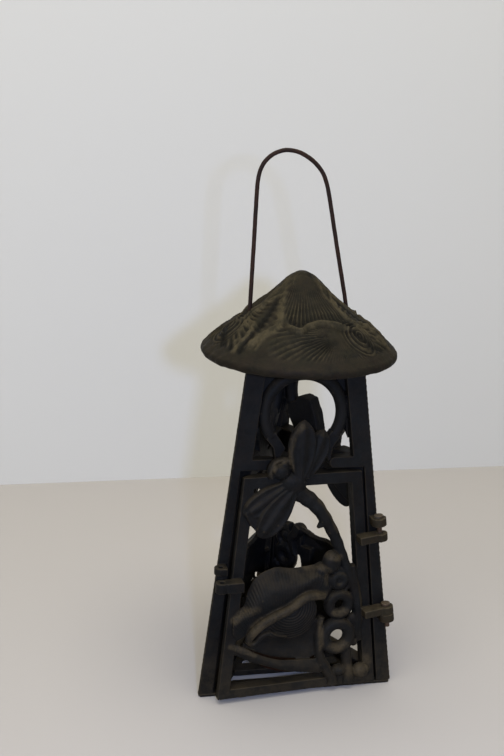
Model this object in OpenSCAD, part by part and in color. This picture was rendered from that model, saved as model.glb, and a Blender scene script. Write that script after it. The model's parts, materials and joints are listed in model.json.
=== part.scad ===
// Three-sided garden candle lantern in cast metal: a hinged door with a dragonfly over a lotus leaf, two rear
// panels with the same ornament, a round roof of overlapping leaves and a wire handle.
// Millimetres, +Z up, the middle of the floor at the origin, the door in front at -Y.

/* [Body] */
// Length of one side of the body at its foot
base_side = 126; // [122:1:134]
// Length of one side of the body at its top
top_side = 71.8; // [70:0.2:76]
// Height of the body
body_h = 212; // [210:1:216]
// Thickness of the cast panels
panel_t = 8.5; // [7:0.5:9]
// Gap between two panels at a corner
joint_gap = 0.2; // [0.1:0.1:0.4]
// Width of the flat that runs along each corner edge
corner_flat = 0.8; // [0.4:0.2:1.6]

/* [Panel pattern] */
// Width of a corner post at its foot
post_foot_w = 9.8; // [9:0.2:11]
// Width of a corner post at the cross bar
post_bar_w = 6.2; // [5.6:0.2:8]
// Width of a post beside the moon window
window_post_w = 12.6; // [11:0.2:13]
// Height of the cross bar's underside
bar_low = 144.6; // [143:0.2:147]
// Height of the cross bar itself
bar_h = 6.6; // [5:0.2:8]
// Gap between the two halves of the cross bar
bar_split = 33; // [30:1:36]
// Height of the top rail
top_rail_h = 8; // [7:0.5:10]
// Height of the moon ring's centre
moon_z = 178.4; // [177:0.2:180]
// Middle radius of the moon ring
moon_r = 23.75; // [22.5:0.25:25]
// Width of the moon ring
moon_w = 7.5; // [6:0.5:8]
// Depth by which the rear panels' carving lies behind the door's
rear_sink = 4.5; // [3.5:0.5:5]

/* [Door] */
// Angle by which the door stands ajar
door_ajar = 5.2; // [1:0.2:20]
// Gap between the door and its opening
door_gap = 1.4; // [1:0.1:2]
// Height of the door's lower edge
door_low = 2.8; // [2.6:0.2:4]
// Height of the door's upper edge
door_high = 142; // [139:0.5:143]
// Width of the door's stiles
stile_w = 7; // [6:0.5:9]
// Height of the door's top rail
door_rail_h = 7; // [6:0.5:9]
// Height of the door's bottom rail
door_sill_h = 6; // [5:0.5:8]

/* [Hinge and catch] */
// Distance of the hinge axis from the corner edge
hinge_in = 1.3; // [1:0.1:2]
// Distance of the hinge axis in front of the panel
hinge_out = 5.2; // [5:0.1:6]
// Radius of the hinge lugs
lug_r = 4.6; // [4:0.1:5]
// Diameter of the hinge pins
pin_d = 3; // [2.5:0.1:3.5]
// Diameter of the pins' heads
pin_head_d = 5.6; // [4.6:0.2:7]
// Thickness of the pins' heads
pin_head_h = 1.6; // [1:0.1:3]
// Height of the middle of the upper frame lug
upper_lug_z = 110.9; // [108:0.5:120]
// Height of the middle of the lower frame lug
lower_lug_z = 48.2; // [46:0.5:56]
// Thickness of the frame lugs
frame_lug_h = 5; // [4:0.2:6]
// Thickness of the door lugs
door_lug_h = 4.6; // [4:0.2:6]
// Free height between the two upper lugs
upper_lug_gap = 4.8; // [1:0.2:8]
// Free height between pieces that turn on each other
turn_gap = 0.3; // [0.3:0.05:0.5]
// Play of a pin in a lug that turns on it
pin_play = 0.06; // [0.04:0.01:0.1]
// Play of a pin in the lugs that hold it
pin_fit = 0.02; // [0.01:0.01:0.03]
// Height of the middle of the catch lug
catch_z = 84.3; // [82:0.5:96]
// Thickness of the catch lug
catch_h = 4.4; // [4:0.2:6]
// Thickness of the door's catch tab
tab_h = 6; // [5:0.2:8]
// Free height between the catch lug and the tab
catch_gap = 1.5; // [1:0.1:3]
// Diameter of the holes through the catch lug and the tab
catch_hole_d = 3.2; // [2:0.2:4]

/* [Roof] */
// Height of the roof's tip over the body
roof_rise = 47.9; // [46:0.2:51]
// Middle radius of the roof's rounded rim
rim_r = 56.1; // [54:0.1:58]
// Radius of the rim's round section
rim_round = 3.5; // [3.25:0.25:4.5]
// Depth of the rim's middle below the top of the body
rim_drop = 0; // [0:0.2:2]
// Thickness of the roof, measured upright
roof_wall = 5.6; // [4.5:0.1:7]
// Height by which an upper leaf's edge stands over the roof
leaf_step = 2.4; // [1:0.2:3]
// Height by which a rolled-up leaf tip stands over the roof
roll_rise = 2.8; // [1:0.2:3]
// Width of the three ribs under the roof
rib_w = 7; // [5:0.5:9]

/* [Handle] */
// Diameter of the handle's wire
wire_d = 2.6; // [2:0.1:3]
// Play of the wire in its holes
wire_play = 0.5; // [0.3:0.1:0.8]
// Depth of the wire's hooked ends below the top of the body
hook_drop = 4.1; // [3.5:0.1:5]

/* [Floor] */
// Thickness of the base plate
plate_t = 2; // [1.8:0.1:2.4]
// Width of the base plate's strips
strip_w = 13; // [11:0.5:14]
// Height of the floor's bar and boss
bar_top = 4; // [3.5:0.25:5]
// Width of the floor's bar
floor_bar_w = 8.4; // [6:0.2:10]
// Distance from the middle to the floor bar's middle
floor_bar_in = 12.2; // [10:0.2:15]
// Diameter of the boss in the middle
boss_d = 14; // [12:1:20]
// Outer diameter of the candle cup
cup_d = 44; // [42:0.5:45]
// Height of the candle cup
cup_h = 6; // [5:0.5:9]
// Wall of the candle cup
cup_wall = 1.2; // [0.8:0.1:1.6]
// Diameter of the screw that holds the cup
cup_screw_d = 4; // [3:0.5:5]
// Diameter of that screw's head
cup_head_d = 8; // [7:0.5:9]
// Thickness of that screw's head
cup_head_h = 1.2; // [1:0.1:2]
// Thickness of the boss left under that screw
cup_screw_floor = 1; // [0.6:0.1:1.5]

/* [Screws] */
// Diameter of the screws that hold the panels to the base plate
base_screw_d = 2.5; // [2:0.1:2.6]
// Diameter of those screws' heads
base_head_d = 3.4; // [3:0.1:3.6]
// Length of those screws
base_screw_l = 11; // [8:0.5:14]
// Diameter of the screws across the top corners
corner_screw_d = 3; // [2.5:0.5:3.5]
// Length of those screws under their heads
corner_screw_l = 6.4; // [5.6:0.2:7]
// Diameter of those screws' heads
corner_head_d = 5.4; // [5:0.2:6]
// Thickness of those screws' heads
corner_head_h = 2; // [1.6:0.2:2.4]
// Play of a screw in its hole
screw_play = 0.1; // [0.06:0.02:0.2]

/* [Hidden] */
$fn = 48;

iron = "#34373a";
roof_iron = "#4a4436";
rust = "#5a3f2c";
steel = "#6f6a62";
overrun = 1;

// The body: how fast it narrows, and how far its faces lean
shrink = (base_side - top_side) / 2 / body_h;
base_inr = base_side / (2 * sqrt(3));
lean_run = shrink / sqrt(3);
lean = atan(lean_run);
splay = atan(shrink * cos(lean));
turn = 120;

// Half the body's width, a post's width, and half the two openings' widths, at a height up the panel
function body_half(s) = base_side / 2 - tan(splay) * s;
function post_w(s) = post_foot_w + (post_bar_w - post_foot_w) * s / bar_low;
function opening_half(s) = body_half(s) - post_w(s);
function window_half(s) = body_half(s) - window_post_w;
function door_half(s) = opening_half(s) - door_gap;
function up_panel(z) = z / cos(lean);
function inradius(z) = base_inr - lean_run * z;

// Small helpers for outlines
function unit(v) = v / norm(v);
function left_of(v) = [-v[1], v[0]];
function flip(v) = [for (i = [len(v) - 1 : -1 : 0]) v[i]];
function heading(p, i) = unit(p[min(i + 1, len(p) - 1)] - p[max(i - 1, 0)]);
function band_edge(p, w, side) = [for (i = [0 : len(p) - 1]) p[i] + left_of(heading(p, i)) * side * w[i] / 2];
function petal(base, tip, width, steps) = let(run = tip - base, across = left_of(unit(run)))
    [for (k = [0 : 2 * steps - 1]) let(t = k < steps ? k / steps : 2 - k / steps, side = k < steps ? 1 : -1)
        base + run * t + across * side * width / 2 * (0.25 * (1 - t) + sin(180 * pow(t, 1.15)) * 0.95)];

module prism(low, high) {
    translate([0, 0, low]) linear_extrude(high - low) children();
}
module band(points, widths, low, high) {
    prism(low, high) polygon(concat(band_edge(points, widths, 1), flip(band_edge(points, widths, -1))));
}
module trapezoid(half_low, half_high, low, high) {
    polygon([[-half_low, low], [half_low, low], [half_high, high], [-half_high, high]]);
}

// A panel's own frame: X across, Y up the face, Z outward, with the outer face at Z = 0
module on_panel() {
    translate([0, -base_inr, 0]) rotate([90 - lean, 0, 0]) children();
}
// The third of the plan that one panel fills, between two mitre planes through the middle
module sector(gap, low, high) {
    reach = base_side;
    prism(low, high) translate([0, -gap / 2 / sin(60)])
        polygon([[0, 0], [-reach * sin(60), -reach * cos(60)], [reach * sin(60), -reach * cos(60)]]);
}

// The hinge axis, straight up the panel beside the corner edge
hinge_x = base_side / 2 - hinge_in;
module on_hinge() {
    on_panel() translate([hinge_x, 0, hinge_out]) rotate([0, 0, splay]) children();
}
module off_hinge() {
    rotate([0, 0, -splay]) translate([-hinge_x, 0, -hinge_out])
        rotate([lean - 90, 0, 0]) translate([0, base_inr, 0]) children();
}
module swung(angle) {
    on_hinge() rotate([0, angle, 0]) off_hinge() children();
}
// A height up the hinge axis
function up_hinge(z) = up_panel(z) / cos(splay);
module hinge_rod(d, low, high) {
    translate([0, up_hinge(low), 0]) rotate([-90, 0, 0]) cylinder(d = d, h = up_hinge(high) - up_hinge(low));
}

// Heights of the hinge lugs
upper_frame_low = upper_lug_z - frame_lug_h / 2;
upper_frame_high = upper_lug_z + frame_lug_h / 2;
upper_door_high = upper_frame_low - upper_lug_gap;
upper_door_low = upper_door_high - door_lug_h;
lower_frame_low = lower_lug_z - frame_lug_h / 2;
lower_frame_high = lower_lug_z + frame_lug_h / 2;
lower_door_low = lower_frame_high + turn_gap;
lower_door_high = lower_door_low + door_lug_h;

lug_root = 0.5;
lug_back = hinge_out + lug_root;
module frame_lug(low, high) {
    arm_in = post_bar_w - hinge_in - lug_root;
    union() {
        hinge_rod(2 * lug_r, low, high);
        translate([-arm_in, up_hinge(low), -lug_back]) cube([arm_in + hinge_in, up_hinge(high - low), lug_back]);
    }
}
module door_lug(low, high) {
    edge = (door_gap + post_w(low) - hinge_in) * cos(splay) + lug_root;
    arm_out = edge + stile_w - 2 * lug_root;
    clear = hinge_out - turn_gap;
    front = lug_r * 0.7;
    difference() {
        union() {
            hinge_rod(2 * lug_r, low, high);
            translate([-arm_out, up_hinge(low), -clear]) cube([arm_out, up_hinge(high - low), clear + front]);
            translate([-arm_out, up_hinge(low), -lug_back])
                cube([arm_out - edge, up_hinge(high - low), lug_back]);
        }
        hinge_rod(pin_d + pin_play, low - overrun, high + overrun);
    }
}

// The catch: an ear on the left post and a tab on the door, drilled in line when the door is shut
catch_low = catch_z - catch_h / 2;
catch_high = catch_z + catch_h / 2;
tab_high = catch_low - catch_gap;
tab_low = tab_high - tab_h;
ear_r = 4;
ear_out = 4.2;
ear_in = 2.6;
ear_root = 1;
module ear(low, high, reach_in, lift) {
    x = -(body_half(low) - ear_in);
    translate([x, up_panel(low), ear_out]) rotate([-90, 0, 0]) cylinder(r = ear_r, h = up_panel(high - low));
    translate([x - ear_root, up_panel(low), lift])
        cube([reach_in + ear_root, up_panel(high - low), ear_out + ear_r - lift]);
}
module catch_hole() {
    translate([-(body_half(catch_low) - ear_in), up_panel(tab_low) - overrun, ear_out])
        rotate([-90, 0, 0]) cylinder(d = catch_hole_d, h = up_panel(catch_high - tab_low) + 2 * overrun);
}

// The plain casting of one panel: posts, cross bar, top rail
panel_top = up_panel(body_h) + panel_t;
window_low = bar_low + bar_h;
window_high = body_h - top_rail_h;
module panel_outline() {
    difference() {
        trapezoid(body_half(-overrun) - corner_flat, body_half(panel_top) - corner_flat, -overrun, panel_top);
        trapezoid(opening_half(-2 * overrun), opening_half(bar_low), -2 * overrun, bar_low);
        trapezoid(window_half(window_low), window_half(window_high), window_low, window_high);
        translate([-bar_split / 2 - bar_end, bar_low - overrun])
            square([bar_split + 2 * bar_end, bar_h + 2 * overrun]);
    }
}
bar_end = bar_h / 2;
module bar_ends() {
    for (side = [-1, 1])
        prism(-panel_t, 0) translate([side * (bar_split / 2 + bar_end), bar_low + bar_end]) circle(r = bar_end);
}

// The moon ring: a round ring that opens below into two straight legs over the split bar
moon_mid = -panel_t / 2;
moon_open = 54;
leg_half = 3.4;
leg_root = 1.5;
leg_foot = [[-2.6, 10.4], [7.6, 14.6], [leg_half, 6]];
module moon() {
    mouth = 2 * (moon_r + moon_w);
    translate([0, moon_z, moon_mid]) {
        difference() {
            rotate_extrude($fn = 72) translate([moon_r, 0]) circle(d = moon_w);
            translate([0, 0, -panel_t]) linear_extrude(2 * panel_t)
                polygon([[0, 0], [-mouth * sin(moon_open), -mouth * cos(moon_open)],
                         [mouth * sin(moon_open), -mouth * cos(moon_open)]]);
        }
        for (side = [0, 1]) mirror([side, 0, 0]) rotate([0, 0, -90 - moon_open]) translate([moon_r, 0, 0])
            prism(-leg_half, leg_half)
                polygon(concat([[leg_half, -leg_root], [-leg_half, -leg_root]], leg_foot));
    }
}

// The dragonfly. Each wing has its root, its tip and its width
wings = [[[-5.8, 139], [-3.6, 177.3], 17.5], [[1.5, 141], [12, 169.3], 10.5],
         [[-12, 136.5], [-37.5, 118], 11], [[-7, 136], [-27.4, 107.6], 14.5]];
petal_steps = 8;
wing_low = 0.6;
wing_high = 4.6;
carving_low = -5;
tail = [[-3, 134.5], [4, 129.6], [10.5, 122], [16.5, 113], [21, 104.5], [24, 96], [27.5, 86], [31.5, 76.5],
        [34.7, 67.5], [36.8, 58]];
tail_w = [9, 9, 8.4, 8, 7.6, 7.2, 7, 6, 5.4, 4.6];
tail_out = 3.4;
head = [-14.8, 145];
head_r = 5.2;
head_out = 2;
chest = [-6.6, 138.4];
chest_r = 6.4;
chest_out = 6.4;
neck_w = [7, 6];
neck_out = 5;
chest_block = chest_r - 1;
module dragonfly(upper_drop) {
    for (w = [0 : 1]) translate([0, 0, -upper_drop])
        prism(wing_low, wing_high) polygon(petal(wings[w][0], wings[w][1], wings[w][2], petal_steps));
    for (w = [2 : 3])
        prism(-wing_high, wing_high - 1) polygon(petal(wings[w][0], wings[w][1], wings[w][2], petal_steps));
    band(tail, tail_w, carving_low, tail_out);
    translate([head[0], head[1], head_out]) sphere(r = head_r);
    prism(wing_low, chest_out) translate(chest) circle(r = chest_r);
    band([chest, head], neck_w, wing_low, neck_out);
    prism(carving_low - 1, wing_high - 1) translate(chest - [chest_block, chest_r]) square([2 * chest_block, chest_r]);
}

// The lotus leaf: a domed sheet, its rolled front lip, and the ribbed underside below the lip
leaf_back_edge = [[-43, 60], [-37.8, 60.9], [-33.8, 65], [-33.6, 71], [-30.8, 76.5], [-26.5, 81.8], [-16.5, 84.8],
                  [-6, 83.6], [0, 83.4], [8, 84.8], [15.5, 83.5]];
leaf_front_edge = [[16.5, 66], [10, 69.5], [4, 69], [-5.8, 62.5], [-21, 55.5], [-43, 46]];
lip_line = [[-43, 42], [-35, 45.6], [-28.6, 48.8], [-21, 52.8], [-12.8, 57], [-5.6, 61], [0, 65], [5, 67.2],
            [10, 66.8], [16.5, 64]];
lip_w = [5, 5, 5.2, 5.4, 5.2, 5.2, 5.6, 6, 5.6, 4];
under_edge = [[-12, 57], [0, 63], [10.5, 64], [8, 57], [8.6, 46], [11.5, 35], [13.5, 25], [-9.5, 26.5],
              [-6.5, 40]];
roll_line = [[-30, 46], [-23, 46.4], [-16, 44.8], [-9, 42]];
roll_w = [4, 5, 5, 5];
low_leaf_line = [[-45, 40], [-36, 36.6], [-28, 33], [-18, 29.6], [-6, 27.6]];
low_leaf_w = [7, 7, 6.4, 6, 6];
dome_r = 60;
dome_top = 8;
dome_mid = [-10, 66];
leaf_low = -3;
lip_low = -1;
lip_out = 9;
under_low = -6;
under_out = 1;
roll_low = -4;
roll_out = 5;
low_leaf_out = 3;
module lotus_leaf() {
    intersection() {
        prism(leaf_low, dome_top + overrun) polygon(concat(leaf_back_edge, leaf_front_edge));
        translate([dome_mid[0], dome_mid[1], dome_top - dome_r]) sphere(r = dome_r, $fn = 96);
    }
    band(lip_line, lip_w, lip_low, lip_out);
    prism(under_low, under_out) polygon(under_edge);
    band(roll_line, roll_w, roll_low, roll_out);
    band(low_leaf_line, low_leaf_w, under_low, low_leaf_out);
}

// The seed pod, the swirl under it, the two round loops and their stems
pod = [21.2, 83.5];
pod_r = 7.2;
swirl = [25.2, 73];
swirl_r = 5.6;
loops = [[25.1, 58.6, 9.6, 4.2], [23.6, 37.4, 12.4, 4.2]];
loop_mid = -0.8;
swirl_out = 4;
pod_out = 6;
stem_out = 2;
stems = [[[[12.5, 27], [16, 19], [20.5, 12], [23, 5]], [7, 7, 7, 8]],
         [[[32, 30], [32.4, 22], [33, 5]], [6.4, 6.2, 7]],
         [[[36.6, 46], [40, 38], [40.4, 30], [38.8, 22], [40, 5]], [4, 4, 4, 4.6, 6]]];
module pods() {
    prism(carving_low, pod_out) translate(pod) circle(r = pod_r);
    prism(carving_low, swirl_out) translate(swirl) circle(r = swirl_r);
    for (l = loops) let(outer = l[2], inner = l[3])
        translate([l[0], l[1], loop_mid]) rotate_extrude()
            translate([(outer + inner) / 2, 0]) circle(r = (outer - inner) / 2);
    for (s = stems) band(s[0], s[1], carving_low, stem_out);
}
module ornament(upper_drop) {
    dragonfly(upper_drop);
    lotus_leaf();
    pods();
}

// The door's frame. The rear panels carry the same frame cast in
door_foot = up_panel(door_low);
door_head = up_panel(door_high);
module door_outline(rail) {
    difference() {
        trapezoid(door_half(door_foot), door_half(door_head), door_foot, door_head);
        trapezoid(door_half(door_foot) - stile_w, door_half(door_head) - stile_w, door_foot + door_sill_h,
                  door_head - rail);
    }
}

module front_frame() {
    color(iron) difference() {
        union() {
            intersection() {
                on_panel() {
                    prism(-panel_t, 0) panel_outline();
                    bar_ends();
                    moon();
                }
                sector(joint_gap, plate_t, body_h);
            }
            on_hinge() {
                frame_lug(upper_frame_low, upper_frame_high);
                frame_lug(lower_frame_low, lower_frame_high);
            }
            on_panel() ear(catch_low, catch_high, post_bar_w - ear_in, -lug_root);
        }
        on_hinge() hinge_rod(pin_d + pin_fit, lower_frame_low - overrun, upper_frame_high + overrun);
        on_panel() catch_hole();
        panel_screw_holes();
        corner_screw_holes(0);
    }
}

module door() {
    edge = 1;
    skin = 0.2;
    color(iron) swung(door_ajar) {
        intersection() {
            on_panel() prism(-panel_t, 0) door_outline(door_rail_h);
            sector(3 * joint_gap, 0, body_h);
        }
        intersection() {
            on_panel() ornament(0);
            on_panel() union() {
                prism(-panel_t, turn_gap + skin) trapezoid(door_half(door_foot) - edge, door_half(door_head) - edge,
                                                           door_foot + edge, door_head - edge);
                prism(turn_gap, 3 * panel_t) trapezoid(door_half(door_foot), door_half(body_h), door_foot, body_h);
            }
        }
        on_hinge() {
            door_lug(upper_door_low, upper_door_high);
            door_lug(lower_door_low, lower_door_high);
        }
        difference() {
            on_panel() {
                ear(tab_low, tab_high, post_w(tab_low) + door_gap + stile_w - ear_in - edge, turn_gap);
                translate([-door_half(up_panel(tab_low)) + edge, up_panel(tab_low), -lug_root])
                    cube([stile_w - 2 * edge, up_panel(tab_h), ear_out + lug_root]);
            }
            on_panel() catch_hole();
        }
    }
}

module rear_panel(corner) {
    difference() {
        intersection() {
            on_panel() {
                prism(-panel_t, 0) panel_outline();
                prism(-panel_t, 0) difference() {
                    trapezoid(opening_half(0) + overrun, opening_half(bar_low) + overrun, 0, bar_low + overrun);
                    trapezoid(door_half(door_foot) - stile_w, door_half(door_head) - stile_w,
                              door_foot + door_sill_h, door_head - door_rail_h);
                }
                bar_ends();
                moon();
                intersection() {
                    translate([0, 0, -rear_sink]) ornament(wing_high);
                    prism(-panel_t, 2 * panel_t) square(4 * base_side, center = true);
                }
            }
            sector(joint_gap, plate_t, body_h);
        }
        panel_screw_holes();
        corner_screw_holes(corner);
        hook_hole(corner);
    }
}
module left_rear_panel() {
    color(iron) rotate([0, 0, -turn]) rear_panel(-1);
}
module right_rear_panel() {
    color(iron) rotate([0, 0, turn]) rear_panel(1);
}

module upper_hinge_pin() {
    color(steel) on_hinge() {
        hinge_rod(pin_d, upper_door_low - overrun, upper_frame_high + pin_head_h / 2);
        hinge_rod(pin_head_d, upper_frame_high, upper_frame_high + pin_head_h);
    }
}
module lower_hinge_pin() {
    pin_tip = 4;
    color(steel) on_hinge() {
        hinge_rod(pin_d, lower_frame_low - pin_tip, lower_door_high + turn_gap + pin_head_h / 2);
        hinge_rod(pin_head_d, lower_door_high + turn_gap, lower_door_high + turn_gap + pin_head_h);
    }
}

// Screws up through the base plate, two in each panel, in the widest part of the posts
screw_along = post_foot_w - 2.2;
screw_deep = 2.2;
module at_panel_screws() {
    for (side = [-1, 1]) translate([side * (base_side / 2 - screw_along), -base_inr + screw_deep, 0]) children();
}
module base_screw(play) {
    cylinder(d = base_screw_d + play, h = base_screw_l + play);
    cylinder(d1 = base_head_d + play, d2 = base_screw_d + play, h = (base_head_d - base_screw_d) / 2);
}
module panel_screw_holes() {
    at_panel_screws() base_screw(screw_play);
}

// Screws across the top corners, square to the mitre, with their heads sunk in one panel of each pair
corner_z = body_h - top_rail_h / 2;
corner_in = 9;
head_seat = corner_head_h + 1;
module at_corner(n) {
    rotate([0, 0, n * turn - 30]) translate([2 * inradius(corner_z) - corner_in, 0, corner_z]) rotate([-90, 0, 0])
        children();
}
module corner_screw(play, head_h) {
    translate([0, 0, head_seat - corner_screw_l - play])
        cylinder(d = corner_screw_d + play, h = corner_screw_l + 2 * play);
    translate([0, 0, head_seat]) cylinder(d = corner_head_d + play, h = head_h);
}
// The pockets for the heads run out through the panel's outer face
module corner_screw_holes(panel) {
    rotate([0, 0, -panel * turn]) for (n = [0 : 2]) at_corner(n) corner_screw(screw_play, panel_t);
}

module base_screws() {
    color(steel) for (n = [0 : 2]) rotate([0, 0, n * turn]) at_panel_screws() base_screw(0);
}
module corner_screws() {
    color(steel) for (n = [0 : 2]) at_corner(n) corner_screw(0, corner_head_h);
}

// A smooth curve through points
function curve(a, b, c, d, t) = b + ((c - a) + ((2 * a - 5 * b + 4 * c - d) + (3 * b - a - 3 * c + d) * t) * t) * t / 2;
function smooth(p, steps) = [for (i = [0 : len(p) - 2]) for (k = [0 : steps - 1])
    curve(p[max(i - 1, 0)], p[i], p[i + 1], p[min(i + 2, len(p) - 1)], k / steps), p[len(p) - 1]];

// The roof: a shell with a blunt tip, steep flanks and a broad brim. The profile's points are shares of the rim's
// radius and of the roof's rise over the body
roof_top = body_h + roof_rise;
rim_z = body_h - rim_drop;
roof_profile = [[0, 1], [0.07, 0.995], [0.18, 0.89], [0.32, 0.715], [0.465, 0.56], [0.605, 0.437], [0.75, 0.34],
                [0.89, 0.213], [1, 0.105]];
roof_line = smooth(roof_profile, 3);
roof_steps = 16;
function roof_z(r) = body_h + roof_rise * lookup(r / rim_r, roof_line);
rib_in = 18;
nib_low = 5;
nib_half = 2;
nib_in = rib_in - 2 * nib_half;
module roof_section() {
    inner_r = rim_r - rim_round;
    polygon(concat(
        [for (i = [0 : roof_steps]) let(r = rim_r * i / roof_steps) [r, roof_z(r)]],
        [for (a = [60 : -30 : -180]) [rim_r + rim_round * cos(a), rim_z + rim_round * sin(a)]],
        [for (i = [roof_steps : -1 : 0]) let(r = inner_r * i / roof_steps) [r, roof_z(r) - roof_wall]]));
}

// The leaves on the roof, each a third of a turn from the next. An outline's points are a radius and a bearing
fan_leaf = [[10, -66], [17, -52], [25, -42], [31, -36], [36, -29], [38, -20], [39, -13], [35, -6], [33.5, 3],
            [33.5, 12], [35, 22], [38, 29], [40.5, 35], [41, 41], [35, 44], [26, 42], [17, 39], [10, 34]];
fold_leaf = [[16, -62], [25, -76], [32, -77], [37, -70], [38, -62], [44, -58], [50, -57], [54, -55], [52, -50],
             [45, -45], [40, -40], [36, -36], [31, -37], [25, -43]];
leaf_full_r = 34;
leaf_roll = [44.5, -83];
leaf_roll_r = 6;
function at_bearing(p) = [p[0] * sin(p[1]), -p[0] * cos(p[1])];
function leaf_points(outline) = [for (p = outline) at_bearing(p)];
module raised(lift) {
    intersection() {
        rotate_extrude($fn = 96) polygon(concat(
            [for (i = [0 : roof_steps]) let(r = rim_r * i / roof_steps) [r, roof_z(r) + lift * min(1, r / leaf_full_r)]],
            [for (i = [roof_steps : -1 : 0]) let(r = rim_r * i / roof_steps) [r, roof_z(r) - roof_wall / 2]]));
        prism(body_h, roof_top + 2 * lift) children();
    }
}
module roof_leaves() {
    for (n = [0 : 2]) rotate([0, 0, n * turn]) {
        raised(leaf_step) polygon(leaf_points(fan_leaf));
        raised(leaf_step / 2) polygon(leaf_points(fold_leaf));
        raised(roll_rise) translate(at_bearing(leaf_roll)) circle(r = leaf_roll_r);
    }
}
module roof_solid() {
    rotate_extrude($fn = 96) polygon(concat([[0, 0]], [[rim_r, 0]],
        [for (i = [roof_steps : -1 : 0]) let(r = rim_r * i / roof_steps) [r, roof_z(r) - roof_wall / 2]]));
}
module roof() {
    rib_out = 2 * inradius(body_h) - 2;
    nib_out = 2 * (inradius(body_h) - panel_t) - nib_half / tan(30) - 2 * turn_gap;
    color(roof_iron) difference() {
        union() {
            rotate_extrude($fn = 96) roof_section();
            roof_leaves();
            intersection() {
                roof_solid();
                for (n = [0 : 2]) rotate([0, 0, n * turn - 30]) translate([rib_in, -rib_w / 2, body_h])
                    cube([rib_out - rib_in, rib_w, roof_top - body_h]);
            }
            for (n = [0 : 2]) rotate([0, 0, n * turn - 30]) translate([nib_in, -nib_half, body_h - nib_low])
                cube([nib_out - nib_in, 2 * nib_half, nib_low + overrun]);
            intersection() {
                roof_solid();
                for (n = [0 : 2]) rotate([0, 0, n * turn - 30]) translate([nib_in, -nib_half, body_h])
                    cube([2 * (rib_in - nib_in), 2 * nib_half, roof_top - body_h]);
            }
        }
        for (leg = [left_leg, right_leg]) wire_hole(leg[0], leg[1]);
    }
}

// The handle: one wire through two holes in the roof, hooked through the top rails of the rear panels
function over_body(p) = [p[0], body_h + p[1]];
left_leg = [over_body([-31.6, 4]), over_body([-30.9, 34])];
right_leg = [over_body([32.9, 4]), over_body([26.6, 34])];
module wire_hole(low, high) {
    run = high - low;
    translate([low[0], 0, low[1]]) rotate([0, atan2(run[0], run[1]), 0])
        cylinder(d = wire_d + 2 * wire_play, h = norm(run));
}
hook_z = body_h - hook_drop;
hook_in = 14;
arch = [[-30.1, 66], [-29.6, 89.8], [-28.9, 102], [-26.4, 109.5], [-21.8, 114.4], [-16.9, 116.9], [-11.6, 117.7],
        [-4.6, 116.3], [2.6, 112.2], [8.2, 106.6], [11.3, 100.6], [13.8, 91.9], [20.1, 63]];
wire_line = concat(
    [[-hook_in, hook_z], [-22, hook_z], [-28, hook_z], [-30.8, hook_z + 0.9], [-31.7, hook_z + 3.6]],
    left_leg, [for (p = arch) over_body(p)], [right_leg[1], right_leg[0]],
    [[33.9, hook_z + 3.6], [33.4, hook_z + 1], [30.8, hook_z], [24, hook_z], [hook_in, hook_z]]);
wire_sides = 10;
wire_steps = 3;
module swept(line, d, sides) {
    n = len(line);
    rings = [for (i = [0 : n - 1]) let(side = left_of(heading(line, i))) for (k = [0 : sides - 1])
        let(a = 360 * k / sides, off = side * cos(a) * d / 2)
            [line[i][0] + off[0], sin(a) * d / 2, line[i][1] + off[1]]];
    polyhedron(rings, concat([[for (k = [0 : sides - 1]) k]],
        [for (i = [0 : n - 2]) for (k = [0 : sides - 1]) let(j = (k + 1) % sides)
            [i * sides + k, (i + 1) * sides + k, (i + 1) * sides + j, i * sides + j]],
        [[for (k = [sides - 1 : -1 : 0]) (n - 1) * sides + k]]));
}
module handle() {
    color(rust) swept(smooth(wire_line, wire_steps), wire_d, wire_sides);
}
module hook_hole(side) {
    rotate([0, 0, -side * turn]) translate([side * hook_in / 2, 0, hook_z]) rotate([0, side * 90, 0])
        cylinder(d = wire_d + wire_play, h = base_side);
}

// The floor: a flat three-sided ring, a bar across it, a boss in the middle and an arm to the rear corner
module triangle(inr) {
    rotate(90) circle(r = 2 * inr, $fn = 3);
}
module base_plate() {
    bar_half = (base_inr - strip_w + floor_bar_in) * 2;
    corner_round = 2;
    arm_w = floor_bar_w;
    color(iron) difference() {
        union() {
            prism(0, plate_t) difference() {
                intersection() {
                    triangle(base_inr);
                    circle(r = 2 * base_inr - corner_round);
                }
                triangle(base_inr - strip_w);
            }
            intersection() {
                union() {
                    prism(0, bar_top) translate([-bar_half / 2, -floor_bar_in - floor_bar_w / 2])
                        square([bar_half, floor_bar_w]);
                    prism(0, bar_top) translate([-arm_w / 2, -floor_bar_in]) square([arm_w, 3 * base_inr]);
                }
                prism(0, bar_top) triangle(base_inr - strip_w + overrun);
            }
            cylinder(d = boss_d, h = bar_top);
        }
        for (n = [0 : 2]) rotate([0, 0, n * turn]) at_panel_screws() base_screw(screw_play);
        translate([0, 0, cup_screw_floor]) cylinder(d = cup_screw_d + screw_play, h = bar_top);
    }
}
module candle_cup() {
    color(rust) difference() {
        translate([0, 0, bar_top]) cylinder(d = cup_d, h = cup_h);
        translate([0, 0, bar_top + cup_wall]) cylinder(d = cup_d - 2 * cup_wall, h = cup_h);
        translate([0, 0, bar_top - overrun]) cylinder(d = cup_screw_d + screw_play, h = cup_wall + 2 * overrun);
    }
}
module cup_screw() {
    head_low = bar_top + cup_wall;
    tip = cup_screw_floor + screw_play;
    color(steel) {
        translate([0, 0, tip]) cylinder(d = cup_screw_d, h = head_low + cup_head_h / 2 - tip);
        translate([0, 0, head_low]) cylinder(d = cup_head_d, h = cup_head_h);
    }
}

front_frame();
left_rear_panel();
right_rear_panel();
door();
upper_hinge_pin();
lower_hinge_pin();
roof();
handle();
base_plate();
candle_cup();
cup_screw();
base_screws();
corner_screws();
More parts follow.
